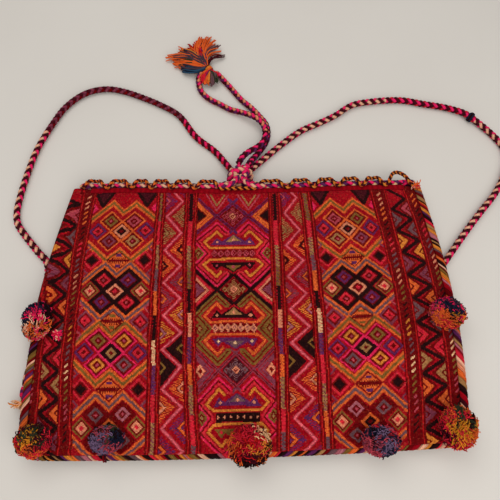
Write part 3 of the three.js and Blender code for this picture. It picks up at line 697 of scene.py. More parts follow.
def medallion(band, level, hand, lattice, thick, zigzag, upper, lower, heart, ends, tall=31.2):
    """Seven diamonds in a lattice inside a zigzag band. hand is -1 for the mirrored stripe."""
    off = abs(band.y - level)
    rise = off + 0.87 * abs(abs(band.x) - lattice_step)
    edge, core = zigzag
    for inset, yarn in zip(ZIGZAG_INSETS, (edge, core, edge, "ground")):
        band.paint((off < tall + 0.3) & (rise < tall - inset), yarn)
    for turn, pair in ((1, upper), (-1, lower)):
        for side, ring in zip((-1, 1), pair):
            at = (hand * side * lattice_step, level + turn * lattice_rise)
            band.nest(at, lattice_size, [(1.02 + thick, lattice), (0.84 - thick, "dark"),
                                         (0.60, ring), (0.34, "dark"), (0.14, "rose")])
    ring, inside, dot = heart
    gap = "black" if ring == "black" else "dark"
    band.nest((0, level), lattice_size, [(1.0 + thick, lattice), (0.85 - thick, gap),
                                         (0.72, ring), (0.46, inside), (0.2, dot)])
    for side in (-1, 1):
        band.nest((side * 24.8, level), (9.4, 9.2), END_DIAMONDS[ends])


# %% Between the medallions
tooth = 1.05  # width of a fine woven tooth, in mm


def between(band, level, ring, core, eye, dot, wedge):
    """The filled diamond between two medallions, and the diamonds and wedges beside it."""
    x, y = band.x, band.y - level
    for side in (-1, 1):
        out = abs(x - side * 36) + abs(abs(y) - 13.5)
        band.paint((abs(y) < 20) & (out < 8.2) & (out > 6.0), wedge)
        layers = [(1.02, ring), (0.74, "dark"), (0.52, core), (0.16, "dark")]
        band.nest((side * 25.8, level), (9.8, 9.8), layers[:3] if core == "black" else layers)
    away = abs(x) / 12 + abs(y) / 10.6
    band.paint(away < 0.97, "dark")
    band.paint(away < 0.86, eye)
    band.paint((away < 0.8) & (abs(y) < 2.8) & (np.floor(x / tooth) % 2 == 0), "dark")
    band.paint((away < 0.84) & (abs(y) < 1.3), "dark")
    band.paint((away < 0.8) & (abs(abs(y) - 5.6) < 1.3) & (abs(x) < 2.7), dot)


MEDALLIONS = [
    (206.3, "orange", 0.0, ("orange", "olive"), ("olive", "rose"), ("mauve", "tan"),
     ("salmon", "black", "dark"), "purple", 34.8),
    (144.5, "black", 0.12, ("orange", "slate"), ("coral", "purple"), ("purple", "coral"),
     ("salmon", "dark", "coral"), "olive"),
    (87, "pink", 0.0, ("orange", "olive"), ("olive", "gold"), ("gold", "slate"),
     ("black", "tan", "dark"), "purple"),
    (23.5, "dark", 0.04, ("orange", "slate"), ("slate", "dusty"), ("rose", "slate"),
     ("orange", "black", "dark"), "olive"),
]
BETWEEN = [
    (175.4, "coral", "black", "orange", "purple", "mauve"),
    (115.7, "mauve", "coral", "orange", "olive", "rose"),
    (55.2, "coral", "black", "orange", "purple", "mauve"),
]


def medallions(band, hand):
    """The whole of a broad stripe, from the triangles at the rim down."""
    band.fill([(14, 249), (33, 249), (23.5, 234)], "maroon", True)
    band.stroke([(13.5, 249), (23.5, 233.5), (33.5, 249)], 3.4, "black", True)
    band.fill([(36, 223), (36, 241), (28, 231)], "pink", True)
    for level, *rest in MEDALLIONS:
        medallion(band, level, hand, *rest)
    for row in BETWEEN:
        between(band, *row)


# %% [markdown]
# ### Horned motifs and stars
# The middle stripe has three horned motifs, each a pair of hooks above and below a beaded waist.
# Between them stand star diamonds with crossing arms and chevrons at both sides. The hooks
# aren't diamonds, so they are strokes through a few corners, and a motif is drawn once and
# turned over for its other half.

# %% Horned motifs
HOOK = [(6.5, 21.5), (15.6, 31), (34.2, 12.4), (23.6, 0)]
OUTER_HOOK = [(5, 23), (15.6, 33.4), (36.4, 12.4), (25.8, 0)]
INNER_HOOK = [(11.4, 18.6), (15.6, 23.8), (27.4, 11.6), (21.4, 5.8), (0, 5.8)]
HALF_GROUND = [(-22, 8.4), (22, 8.4), (22, 12), (15.6, 18), (11.5, 13.5), (7.5, 17), (0, 22),
               (-7.5, 17), (-11.5, 13.5), (-15.6, 18), (-22, 12)]
HALF_FILLING = [(-21, 9.2), (21, 9.2), (15.8, 17), (11.5, 12.6), (7, 15.6), (0, 20), (-7, 15.6),
                (-11.5, 12.6), (-15.8, 17)]
HALF_STAR = [(-7.5, 12.4), (7.5, 12.4), (0, 19)]


def turned(points, level, turn):
    """A row of places above a level, or below it where turn is -1."""
    return [(x, level + turn * y) for x, y in points]


def horned(band, level, outer, vein, inner, waist, above, below, beads):
    """One horned motif. above and below each give a filling, the star in it and its dots."""
    for width, yarn in ((5.4, outer), (1.4, vein)):
        for turn in (1, -1):
            band.stroke(turned(HOOK, level, turn), width, yarn, True)
    for turn, (filling, star, dots) in ((1, above), (-1, below)):
        for points, yarn in ((HALF_GROUND, "ground"), (HALF_FILLING, filling), (HALF_STAR, star)):
            band.fill(turned(points, level, turn), yarn)
        for at in turned([(0, 14.2), (15.2, 12.2), (-15.2, 12.2)], level, turn):
            band.nest(at, (1.7, 1.7), [(1, dots)])
        band.stroke(turned(INNER_HOOK, level, turn), 2.2, inner, True)
    band.paint((abs(band.y - level) < 3.9) & (abs(band.x) < 19.6), waist)
    for k in range(-3, 4):
        band.nest((k * 5.9, level), (2.9, 3.9), beads)
    for side in (-1, 1):
        band.nest((side * 32, level), (5, 7), [(1, "olive"), (0.62, "dark"), (0.3, "tan")])


# %% Stars
def starry(band, level, arms, width, core, rays, chevron, hollow):
    """The star diamond between two horned motifs, its crossing arms and the side chevrons."""
    for side in (1, -1):
        for turn in (1, -1):
            arm = turned([(side * 0.01, 15), (side * 15.4, 0), (side * 36, 20)], level, turn)
            band.stroke(arm, width, arms)
            band.stroke(turned([(0, 15), (side * 4, 19)], level, turn), width, arms)
            if arms != "black":
                band.stroke(arm, width * 0.38, "dark")
    x, y = abs(band.x), abs(band.y - level)
    away = x / 12.4 + y / 12.2
    band.paint(away < 1, core)
    cross = (x < 1.6) | (y < 1.6) | (abs(x - y) < 1.6) | (abs(x + y - 7.4) < 1.2)
    chequer = (np.floor(x / tooth) + np.floor(y / tooth)) % 2 == 0
    band.paint((away < 0.9) & cross & chequer, rays)
    band.nest((0, level), (3.6, 3.8), [(1, "salmon"), (0.55, "dark"), (0.2, "salmon")])
    for side in (-1, 1):
        band.nest((side * 8.2, level), (2.6, 2.8), [(1, rays), (0.45, "dark")])
        if hollow == "salmon":
            band.nest((side * 31.5, level), (4.6, 6), [(1, hollow), (0.45, "dark")])
        else:
            for reach, tip, yarn in ((10, 24.5, "dark"), (8, 26.5, hollow)):
                band.fill([(side * 36, level + reach), (side * tip, level),
                           (side * 36, level - reach)], yarn)
        for shift, yarn in chevron:
            band.stroke([(side * 37, level + 16.5 - shift), (side * (20.5 + shift), level),
                         (side * 37, level - 16.5 + shift)], 2.0, yarn)


# %% The middle stripe
STARS = [
    (222.6, "purple", 3.0, "dark", "rose", [(0, "orange"), (3.2, "orange")], "black"),
    (145.5, "black", 3.4, "dark", "tan", [(0, "coral"), (3.2, "salmon")], "mauve"),
    (70.6, "mauve", 2.4, "maroon", "slate", [(0, "mauve"), (3.4, "mauve")], "salmon"),
]
HORNED = [
    (182.5, "coral", "dark", "gold", "dark", ("purple", "tan", "salmon"),
     ("black", "olive", "rose"), [(1.0, "rose"), (0.62, "dark"), (0.28, "rose")]),
    (108.6, "olive", "dark", "orange", "dark", ("black", "tan", "salmon"),
     ("purple", "slate", "cream"), [(1.15, "salmon"), (0.5, "mauve"), (0.25, "salmon")]),
    (31.0, "coral", "dark", "gold", "black", ("purple", "slate", "salmon"),
     ("olive", "gold", "coral"), [(0.42, "salmon")]),
]


def centre(band):
    """The whole of the middle stripe, from the chevrons at the rim down."""
    for side in (-1, 1):
        for rise, yarn, reach in ((235, "tan", 7), (229.5, "rose", 11)):
            band.stroke([(side * 15.5 - reach, 247), (side * 15.5, rise),
                         (side * 15.5 + reach, 247)], 1.5, yarn)
    for star in STARS:
        starry(band, *star)
    for motif in HORNED:
        horned(band, *motif)
    for level in (HORNED[0][0], HORNED[2][0]):
        for turn in (1, -1):
            band.stroke(turned(OUTER_HOOK, level, turn), 1.5, "pink", True)


# %% [markdown]
# ### Zigzags
# Two stripes near the sides carry a thick black zigzag with a triangle in each of its bays. Two
# stripes beside the middle carry a thin pink one, whose bays are filled with short strokes. A
# zigzag could be a stroke through all its turns, but its bays need to know how far away each
# turn is. So the distance to a turn draws the bay, and a wave from turn to turn draws the line.

# %% Black zigzags
BAYS = ["rose", "slate", "gold", "mauve", "orange", "slate", "coral", "tan", "orange", "mauve",
        "gold"]
black_step, black_reach, black_half = 11.75, 8.6, 3.0


def wave(y, top, step):
    """-1 at each left turn of a zigzag and 1 at each right turn. top is its first left turn."""
    t = ((top - y) / step) % 2
    return np.where(t < 1, 2 * t - 1, 3 - 2 * t)


def dark_zigzag(band, top, first):
    """first is the place in BAYS of the uppermost bay on the left."""
    for k in range(len(BAYS)):
        right = top - 2 * black_step * k
        for side, level, number in ((1, right, k), (-1, right - black_step, k + first)):
            yarn = BAYS[number % len(BAYS)]
            x = side * band.x
            out = (band.half - x) + abs(band.y - level)
            bay = (x < band.half) & (abs(band.y - level) < black_step)
            for size, shade in ((13.4, "dark"), (10.4, yarn), (5.8, "dark"), (4.0, yarn),
                                (1.5, "dark")):
                band.paint(bay & (out < size), shade)
    band.paint(abs(band.x - black_reach * wave(band.y, top, black_step)) < black_half, "black")


# %% Pink zigzags
STROKES = ["purple", "tan", "orange", "mauve", "gold", "black", "orange", "purple"]
CHEVRONS = ["rose", "tan", "black", "orange", "dusty", "olive", "salmon", "orange"]
pink_step, pink_reach = 17.3, 8.4


def pink_zigzag(band, turns):
    """turns are the heights of its turns from the rim down, the first of them to the left."""
    for k, level in enumerate(turns):
        above = turns[k - 1] - level if k else pink_step
        below = level - turns[k + 1] if k + 1 < len(turns) else pink_step
        off = abs(band.y - level) / np.where(band.y > level, above, below) * pink_step
        zone = min(k // 2, len(STROKES) - 1)
        stroke = STROKES[zone]
        x = band.x if k % 2 else -band.x
        out = off * 0.98 + (x + band.half)
        bay = (out < pink_step) & (off < pink_step) & (x > -band.half)
        band.paint(bay, "black" if stroke == "black" else "ground")
        if stroke != "black":
            teeth = np.floor((off - 0.45 * x) / 1.02) % 2 < 1
            band.paint(bay & (out < pink_step - 2.4) & (teeth | (off < 0.7)), stroke)
            band.paint(bay & (out < 8.6) & (out > 4.8), "dark")
        band.paint(bay & (out < 7.8) & (out > 5.4), CHEVRONS[zone])
        band.paint(bay & (out < 3.2), stroke)
    hands = [1 if k % 2 else -1 for k in range(len(turns))]
    line = pink_reach * np.interp(band.y, turns[::-1], hands[::-1])
    for width, yarn in ((1.8, "rose"), (1.0, "blush")):
        band.paint(abs(band.x - line) < width, yarn)


# %% [markdown]
# ### Stripes and borders
# Narrow stripes of one colour after another run between the broad ones, and dashes run beside
# the zigzags. Bright red lines edge every stripe. The loom drew the bands in and let them out.
# Straight borders would be simpler, but the stripes would then drift off those of the real
# cloth, so a border has its own share across at the foot, half way up and at the rim.

# %% Stripes
solid_half, dash_pitch, dash_share = 1.65, 5.6, 0.37


def solid_stripe(band, top, lengths, yarns):
    """One yarn after another. Some of them are twisted with a second yarn."""
    foot = top
    for length, yarn in zip(lengths, yarns):
        level, foot = foot, foot - length
        run = (band.y <= level) & (band.y > foot)
        band.paint(run & (abs(band.x + 0.3 * np.sin(2 * band.y)) < solid_half), yarn)
        if yarn in ("tan", "olive", "slate", "purple", "cream"):
            twist = np.sin(1.7 * band.y + 1.5 * band.x) > 0.55
            band.paint(run & twist & (abs(band.x) < 1.3),
                       "salmon" if yarn == "cream" else "mauve")


def dash_stripe(band, top, yarns, width):
    """Slanted dashes, three in each yarn."""
    band.code[:] = CODE["dark"]
    run = (top - band.y + 0.95 * band.x) / dash_pitch
    number = np.floor(run).astype(int)
    on = (run - number < dash_share) & (abs(band.x) < width)
    for group, yarn in enumerate(yarns):
        band.paint(on & (number // 3 == group), yarn)


# %% Borders
BORDERS = {
    "a": (-0.938, -0.966, -1.078), "b1": (-0.823, -0.858, -0.953),
    "b2": (-0.775, -0.808, -0.883), "c1": (-0.429, -0.451, -0.511),
    "c2": (-0.389, -0.413, -0.479), "d1": (-0.251, -0.292, -0.351),
    "d2": (-0.203, -0.249, -0.293), "e1": (0.155, 0.134, 0.123),
    "e2": (0.194, 0.181, 0.175), "f1": (0.349, 0.317, 0.298),
    "f2": (0.388, 0.362, 0.349), "g1": (0.737, 0.724, 0.704),
    "g2": (0.800, 0.788, 0.782), "h": (0.935, 0.925, 0.906),
}


def border(name, up):
    """Where a border is across, at a share of the height."""
    low, mid, high = BORDERS[name]
    return low * (1 - up) * (1 - 2 * up) + mid * 4 * up * (1 - up) + high * up * (2 * up - 1)


# %% [markdown]
# ### The whole pattern
# Every stitch belongs to one stripe, between its two borders. The stripes at the outside run on
# under the edging, so they lack one border. One table names the stripes from left to right, and
# one function gives each stitch to the right one, so a stripe can be changed by itself.

# %% Table of the stripes
DASHES = ["salmon", "orange", "black", "coral", "slate", "salmon", "olive", "black", "gold",
          "slate", "cream", "olive", "rose", "black"]
OUTER_DASHES = DASHES[1:] + DASHES[:1]
LENGTHS = [30.7, 25.4, 25.1, 20.4, 22.8, 23.9, 21.9, 26.5, 23.2, 30]
RIGHT_LENGTHS = [32, 18.3, 18, 15.7, 20.2, 17.1, 23.1, 20.6, 25.4, 23.2, 21.4, 12]
YARNS = ["olive", "coral", "tan", "slate", "orange", "black", "cream", "purple", "coral", "tan",
         "orange", "slate"]
INNER_LENGTHS = [31, 26, 22, 21, 23.2, 22.3, 24.5, 18, 26, 24.3, 12]
RIGHT_INNER_LENGTHS = [31, 26, 22, 19.3, 22.8, 17.3, 25, 20.1, 28, 18.4, 17.1]
INNER_YARNS = ["black", "coral", "tan", "olive", "black", "salmon", "purple", "orange", "tan",
               "coral", "slate"]
LEFT_TURNS = [256, 239, 221.7, 203.3, 186, 169.8, 153.5, 137.9, 122, 105.1, 90.7, 74.4, 55.2,
              39.8, 22.4, 3, -15]
RIGHT_TURNS = [259, 242.2, 223.9, 205.4, 189.1, 173.9, 157.7, 141.4, 125.8, 109.4, 94.3, 77.4,
               60.8, 44.5, 28.1, 9.9, -8]
STRIPES = [
    (None, "a", 7.2, dash_stripe, 241, OUTER_DASHES, 2.2),
    ("a", "b1", 11.4, dark_zigzag, 224, 1),
    ("b1", "b2", 4.6, dash_stripe, 245, DASHES, 1.6),
    ("b2", "c1", 35, medallions, 1),
    ("c1", "c2", 4.0, solid_stripe, 247, LENGTHS, YARNS),
    ("c2", "d1", 12.4, pink_zigzag, LEFT_TURNS),
    ("d1", "d2", 4.3, solid_stripe, 247, INNER_LENGTHS, INNER_YARNS),
    ("d2", "e1", 36.8, centre),
    ("e1", "e2", 4.3, solid_stripe, 247, RIGHT_INNER_LENGTHS, INNER_YARNS),
    ("e2", "f1", 13.6, pink_zigzag, RIGHT_TURNS),
    ("f1", "f2", 4.0, solid_stripe, 247, RIGHT_LENGTHS, YARNS),
    ("f2", "g1", 35, medallions, -1),
    ("g1", "g2", 5.4, dash_stripe, 245, DASHES, 1.8),
    ("g2", "h", 11.4, dark_zigzag, 226, 1),
    ("h", None, 7.2, dash_stripe, 243, OUTER_DASHES, 2.2),
]
print("stripes", len(STRIPES))

# %% Stitch by stitch
cloth_half = 190  # what a share across is worth in mm, near enough
selvedge_share, past_edge = 0.075, 1.1
border_half, line_half = 2.1, 0.52


def weave(share, up, height):
    """The yarn of every stitch, from its share across (-1 to 1) and its share up."""
    code = np.full(share.shape, CODE["ground"], int)
    for left, right, half, draw, *more in STRIPES:
        low = border(left, up) if left else border(right, up) - selvedge_share
        high = border(right, up) if right else border(left, up) + selvedge_share
        start, stop = low if left else -past_edge, high if right else past_edge
        inside = (share >= start) & (share < stop)
        x = (share - (low + high) / 2) / ((high - low) / 2) * half
        band = Band(x[inside], up[inside] * height, half)
        draw(band, *more)
        code[inside] = band.code
    for name in BORDERS:
        away = abs(share - border(name, up)) * cloth_half
        code[away < border_half] = CODE["dark"]
        code[away < line_half] = CODE["line"]
    return code


# %% [markdown]
# ## The cloth
# The front cloth isn't quite flat. It waves a little, stands up along each border, and at the
# bottom and the upper left it has crept over the edging. Folds could be modelled by hand, but
# they would miss the pattern's borders. So the net is moved by sums that know where these are.
# The linings and the back are the same form a little further in, in plain dark red stripes.

# %% Lie of the front cloth
fold_depth = 9  # how far inside the seam, in mm, the cloth begins to bend over the edging
SIDE_FOLD = [(-9, 3.4), (-5.6, 5.6), (-1.7, 6.0), (1.9, 4.9), (3.9, 1.6), (4.2, -1.2)]
BOTTOM_FOLD = [(-9, 3.4), (-7.1, 4.6), (-5.4, 5.3), (-3.8, 5.5), (-2.5, 5.5), (-1.5, 5.1)]


def soft_waves(across, up):
    """Slow unevenness of cloth that isn't quite flat."""
    x, y = across * cloth_half, up * panel_height
    return (0.45 * np.sin(x / 17 + 1.3 * np.sin(y / 41)) * np.sin(y / 29 + 0.7)
            + 0.35 * np.sin(x / 43 - y / 37 + 1.1) + 0.22 * np.sin(x / 9.5 + 2 * np.sin(y / 23)))


def edge_share(across, up):
    """0 at the borders of the panel, 1 from some 12 mm inside them."""
    inside = np.minimum((1 - abs(across)) * half_width(up), np.minimum(up, 1 - up) * panel_height)
    return ease_both((inside - 5) / 12)


def folded(inside, fold):
    """How far out from the seam and how high folded cloth lies, by how far inside it was."""
    out, high = np.array(fold).T
    share = np.linspace(0, 1, len(fold))
    bent = 1 - inside / fold_depth
    return np.interp(bent, share, out), np.interp(bent, share, high) + seam_height


def over_edging(spot, across, up):
    """Lays the lower border of the front over the edging, and the left border of its upper part
    over it and down outside it."""
    above = up * panel_height
    out, high = folded(above, BOTTOM_FOLD)
    much = ease_both(((1 - abs(across)) * half_width(0) - 10) / 14) * (above < fold_depth)
    foot_y = plan(across, np.zeros(len(across)))[1]
    spot[:, 1] += ((foot_y - out) - spot[:, 1]) * much
    spot[:, 2] += (high - spot[:, 2]) * much
    inside = (1 + across) * half_width(up)
    out, high = folded(inside, SIDE_FOLD)
    much = ease_both((up - 0.40) / 0.08) * (inside < fold_depth)
    rim_x = plan(np.full(len(across), -1.0), up)[0]
    spot[:, 0] += ((rim_x - out) - spot[:, 0]) * much
    spot[:, 2] += (high - spot[:, 2]) * much
    return spot


# %% Front cloth
ridge_width, ridge_rise, cloth_back = 1.6, 0.45, 0.0022


def front_place(u, v):
    """The pouch's form with slow waves, a ridge at each border, and the folds."""
    across, up = 2 * u - 1, v
    ridge = sum(np.exp(-(((across - border(name, up)) * cloth_half / ridge_width) ** 2))
                for name in BORDERS)
    off = edge_share(across, up) * (soft_waves(across, up) + ridge_rise * ridge - 0.3)
    return placed(over_edging(face_point("front", across, up, off), across, up))


def front_paint(u, v):
    """The pattern a little out of true, lighter and darker in bands of rows, and flecked with
    other yarns that also stand for painted glints and painted shade between stitches.
    """
    across, up = 2 * u - 1, v
    drift = (0.0020 * np.sin(11 * across + 3 * up) * np.cos(13 * up)
             + 0.0012 * np.sin(31 * up + 9 * across))
    lift = 0.0022 * np.sin(9 * across + 2.2) * np.cos(7 * up) + 0.0012 * np.sin(27 * across)
    shades = SHADES[weave(across + drift, up + lift, panel_height)]
    rows = np.floor(up * front_stitches[1]).astype(int)
    # Lighter and darker in bands of rows.
    row_banding = 1 + 0.05 * np.sin(rows / 9.0) + 0.04 * np.sin(rows / 3.7 + 1)
    light = np.sqrt(shades.max(axis=1, keepdims=True))
    # Flecks of other yarns. The light ones are partly painted glints on the stitches, and the dark
    # ones partly painted shade between them.
    fleck_and_glint = 0.30 * chance.random(len(u))[:, None] ** 3 * light
    other = SHADES[codes("salmon", "orange", "dark", "mauve")][chance.integers(0, 4, len(u))]
    return (shades * (1 - fleck_and_glint) + other * fleck_and_glint) * row_banding[:, None]


front_cloth = net("front_cloth", *front_stitches, front_place, front_paint, woven,
                  back=(0, 0, -cloth_back), spread=0.21)
stands_for(front_cloth, "front_panel")
print("front stitches", len(front_cloth.data.polygons))

# %% Linings and the back
lining_stitches = (130, 84)
PLAIN_YARNS = codes("dark", "ground", "dark", "maroon", "dark", "ground", "black", "dark",
                    "coral", "dark")


def plain_paint(u, v):
    """Plain warp stripes in dark reds."""
    rows = np.floor((2 * u - 1) * 60).astype(int)
    return SHADES[PLAIN_YARNS[(rows * 7 // 3) % len(PLAIN_YARNS)]] * 0.9


def cloth(name, face, side, off, stitches, back=None):
    """A plain cloth on a face of the pouch, off it by some millimetres. side is 1 where it is
    seen with its left at the left of the drawing, and -1 where it is seen from below."""
    piece = net(name, *stitches, lambda u, v: placed(face_point(face, side * (2 * u - 1), v, off)),
                plain_paint, plain_woven, back=back)
    stands_for(piece, face + "_panel")
    return piece


cloth("front_lining", "front", -1, -panel_thickness, lining_stitches)
cloth("back_lining", "back", 1, -panel_thickness, lining_stitches)
back_cloth = cloth("back_cloth", "back", -1, 0, back_stitches,
                   back=(0, 0, cloth_back))
print("linings 2, back stitches", len(back_cloth.data.polygons))

# %% [markdown]
# ## The wrapped edging
# A cord of many yarns is wrapped closely round the edges of both panels. Its bands lean, because
# the wrapping goes round on a slant, and each turn of yarn stands up as a small ridge. A tube
# with a striped material would be quicker, but its stripes would be flat. Here one section is
# swept along the seam, and each band of yarn raises the faces that it covers.

# %% Section of the edging
grip, nose_half, nose_middle = 5.5, 4.15, -1.7
wrap_half_inner, wrap_back = 3.05, 0.3


def edging_section(u):
    """Out from the seam and up, round the channel: over the nose, then back inside it."""
    outer = np.array([(-grip, -nose_half)] + [
        (nose_middle + nose_half * math.cos(a), nose_half * math.sin(a))
        for a in np.linspace(-math.pi / 2, math.pi / 2, 13)] + [(-grip, nose_half)])
    inner = np.array([(-grip, wrap_half_inner), (wrap_back, wrap_half_inner),
                      (wrap_back, -wrap_half_inner), (-grip, -wrap_half_inner),
                      (-grip, -nose_half)])
    both = np.vstack([outer, inner])
    gaps = np.linalg.norm(np.diff(both, axis=0), axis=1)
    run = np.concatenate([[0], np.cumsum(gaps)])
    share = np.interp(u, np.linspace(0, 1, len(both)), run)
    return np.stack([np.interp(share, run, both[:, k]) for k in range(2)], 1), share


# %% Path of the edging
def seam(part):
    """The panels' edge, down the left, along the bottom or up the right, at the seam's height."""
    half = half_width(0)
    if part == "bottom":
        t = np.linspace(0, 1, 400)
        row = np.stack(plan((2 * t - 1) * (1 - corner_radius / half), np.zeros(400)), 1)
    else:
        hand = -1 if part == "left" else 1
        corner_top = corner_radius / panel_height
        ups = np.concatenate([np.linspace(1, corner_top, 340),
                              corner_top * (1 - np.linspace(0, 1, 30))])
        side = np.stack(plan(np.full(len(ups), float(hand)), ups), 1)
        shares = hand * (1 - np.linspace(0, corner_radius / half, 30))
        foot = np.stack(plan(shares, np.zeros(30)), 1)
        row = np.vstack([side, foot[1:]])
    row = row[::-1] if part == "right" else row
    return np.column_stack([row, np.full(len(row), seam_height)])


# %% Edging
EDGING_YARNS = codes("peach", "orange", "gold", "black", "tan", "coral", "olive", "orange",
                     "peach", "maroon", "black", "dark", "salmon", "slate", "ground", "gold",
                     "purple", "dusty")
edging_gap, band_count, strand_count, strand_width = 0.45, 320, 1600, 0.85
seen_from, seen_to = 0.5, 21  # where along the section the yarn shows, in mm


def edging(part, first, slant):
    """One run of the edging. first seeds its bands, and slant is the way that they lean."""
    row, along = spaced(seam(part), edging_gap)
    way = unit(np.gradient(row, axis=0))
    outward = np.stack([way[:, 1], -way[:, 0], np.zeros(len(way))], 1)
    length = along[-1]
    own = np.random.default_rng(first)
    ends = np.cumsum(2.0 + 5.0 * own.random(band_count) ** 1.4) - 60
    yarns = EDGING_YARNS[(np.cumsum(own.integers(1, 8, band_count))) % len(EDGING_YARNS)]
    strand_shade = own.uniform(0.65, 1.15, strand_count)

    def strand(v):
        """Which band of yarn is here, and where across it."""
        at = v * length
        band = np.searchsorted(ends, at).clip(1, len(ends) - 1)
        return at, band, ((at - ends[band - 1]) / (ends[band] - ends[band - 1])).clip(0, 1)

    def place(u, v):
        section, share = edging_section(u)
        at, _, within = strand(v)
        to_end = np.minimum(1, np.minimum(v, 1 - v) * length / 16)
        lean = slant * (share - 10) * (0.95 + 0.2 * np.sin(at / 11)) * to_end
        if part == "bottom":
            lean = lean * np.tanh((0.49 - v) * length / 17)
        ring = ((at - lean) / length * (len(row) - 1)).clip(0, len(row) - 1)
        near = np.floor(ring).astype(int).clip(0, len(row) - 2)
        part_way = (ring - near)[:, None]
        spot = row[near] * (1 - part_way) + row[near + 1] * part_way
        sideways = outward[near] * (1 - part_way) + outward[near + 1] * part_way
        ridge = 0.95 * np.sqrt(np.sin(np.pi * within)) + 0.15 * np.sin(at * 3.3) - 0.6
        shown = np.clip((share - seen_from) / 2, 0, 1) * np.clip((seen_to - share) / 2, 0, 1)
        section = section + unit(section - np.array([nose_middle, 0])) * (ridge * shown)[:, None]
        spot = spot + sideways * section[:, :1]
        spot[:, 2] += section[:, 1]
        return placed(spot)

    def paint(u, v):
        at, band, within = strand(v)
        number = np.floor(at / strand_width).astype(int) % strand_count
        shade = SHADES[yarns[band]] * strand_shade[number][:, None]
        # Each band grows darker towards its edges: painted shade where one turn of yarn meets the
        # next.
        return shade * (0.35 + 0.65 * np.sqrt(np.sin(np.pi * within)))[:, None]

    name = part + "_binding"
    piece = net(name, 30, len(row) - 1, place, paint,
                woollen(name + "_wool", plied(14, length / 2.4), 0.5), rolled=True)
    stands_for(piece, part + "_edging")
    print(name, round(length), "mm")


edging("left", 0, 1)
edging("bottom", 5, 1)
edging("right", 9, -1)

# %% [markdown]
# ## The hems of the mouth
# A plain dark red band is folded over each rim and sewn down. A strip could be given a
# thickness with Solidify, but its two edges lie at different depths. So the fold's section is
# drawn, and swept along the rim. The hem is short in the warp, so it puckers slightly from
# stitch to stitch.

# %% Hems
hem_inset, hem_stitches = 16, 120
hem_share = 1 - hem_inset / rim_half
HEM_FOLD = np.array([  # below the rim and off the cloth, in mm, round the folded band
    (4.4, 0.9), (2.2, 1.0), (0, 1.0), (-1.0, 0.3), (-1.0, -3.0), (0, -3.6), (3, -3.6),
    (6, -3.6), (6, -2.9), (0, -2.9), (0, 0.3), (4.4, 0.3), (4.4, 0.9)])


def hem(face):
    """The folded band of the front or back rim."""
    outward = 1 if face == "front" else -1

    def place(u, v):
        share = np.linspace(0, 1, len(HEM_FOLD))
        inset, off = (np.interp(u, share, HEM_FOLD[:, k]) for k in range(2))
        up = 1 - np.clip(inset, 0, None) / panel_height
        spot = face_point(face, (2 * v - 1) * hem_share, up, off)
        spot[:, 1] += np.clip(-inset, 0, None)
        pucker = 0.10 * np.sin(2 * np.pi * v * hem_stitches) + 0.25 * np.sin(v * 61 + 2)
        spot[:, 2] += outward * pucker * (off > 0.9)
        return placed(spot)

    def paint(u, v):
        """Dark red, with painted shade between two stitches."""
        return SHADES[np.full(len(u), CODE["ground"])] * (0.66 + 0.1 * np.sin(v * 377))[:, None]

    name = face + "_hem"
    wool = woollen(name + "_wool", stitched(10, 2 * hem_stitches), 0.3)
    piece = net(name, 24, 480, place, paint, wool, rolled=True)
    stands_for(piece, face + "_rim_hem")
    print(name, "faces", len(piece.data.polygons))


hem("front")
hem("back")

# %% [markdown]
# ## The drawstring and its loops
# A thin braid is sewn to each hem at intervals and stands over it in scallops. The drawstring
# lies in those scallops, turns at both corners of the mouth and meets itself in the knot. Each
# could be a curve drawn by hand, but they have to clear the hem and each other by less than a
# millimetre. So both follow the rim: the drawstring beside it, and the scallops over it.

# %% Drawstring
drawstring_reach, drawstring_radius, corner_turn, turn_inset = 4.05, 3.3, 4.2, 9
knot_middle, knot_reach = np.array([-8.2, 19.5, 12]), 14
parting_from, turn_share = 0.8, 1 - turn_inset / rim_half


def drawstring_points(face, across):
    """Places of the drawstring beside a rim."""
    across = np.asarray(across, float)
    outer = face_point(face, across, np.ones(len(across)))
    inner = face_point(face, across, np.ones(len(across)), -panel_thickness)
    spot = (outer + inner) / 2
    spot[:, 1] += drawstring_reach
    parting = ease_both((abs(across) - parting_from) / (turn_share - parting_from))
    level = seam_height + (corner_turn if face == "front" else -corner_turn)
    spot[:, 2] += (level - spot[:, 2]) * parting
    return spot


def drawstring_turn(hand):
    """Half a turn round a corner of the mouth, from the front down to the back."""
    past = drawstring_points("front", [hand * turn_share])[0]
    angle = np.pi * (0.5 - np.arange(5) / 4)
    return np.stack([past[0] + hand * corner_turn * np.cos(angle), np.full(5, past[1]),
                     seam_height + corner_turn * np.sin(angle)], 1)


def knot_entry(hand):
    """Where an end of the drawstring enters the knot."""
    return unit(np.array([hand * 0.62, -0.66, 0.42])) * knot_reach + knot_middle


near_turn = turn_share - 12 / rim_half
middle_share, leave = knot_middle[0] / rim_half, 26.8 / rim_half
drawstring_route = np.vstack([
    [knot_entry(-1)],
    drawstring_points("front", np.linspace(middle_share - leave, -near_turn, 12)),
    drawstring_turn(-1),
    drawstring_points("back", np.linspace(-near_turn, near_turn, 27)),
    drawstring_turn(1)[::-1],
    drawstring_points("front", np.linspace(near_turn, middle_share + leave, 14)),
    [knot_entry(1)],
])
drawstring_yarns = [(0.25, ("hot", "peach"), ("purple", "maroon")),
                    (0.75, ("purple", "hot"), ("pink", "maroon")),
                    (1, ("hot", "purple"), ("cream", "maroon"))]
lay_cord("drawstring", "drawstring_braid", drawstring_route, drawstring_radius,
         drawstring_yarns, 22, "pink_braid", roll=0.9)


# %% Scalloped loop braids
scallop_radius, valley_inset, low_rise, loop_end, tall_reach = 5.55, 3, 4.3, 7, 7
LOOP_VALLEYS = [0, 0.075, 0.151, 0.21, 0.273, 0.339, 0.421, 0.519, 0.618, 0.697, 0.77, 0.843,
                0.913, 1]


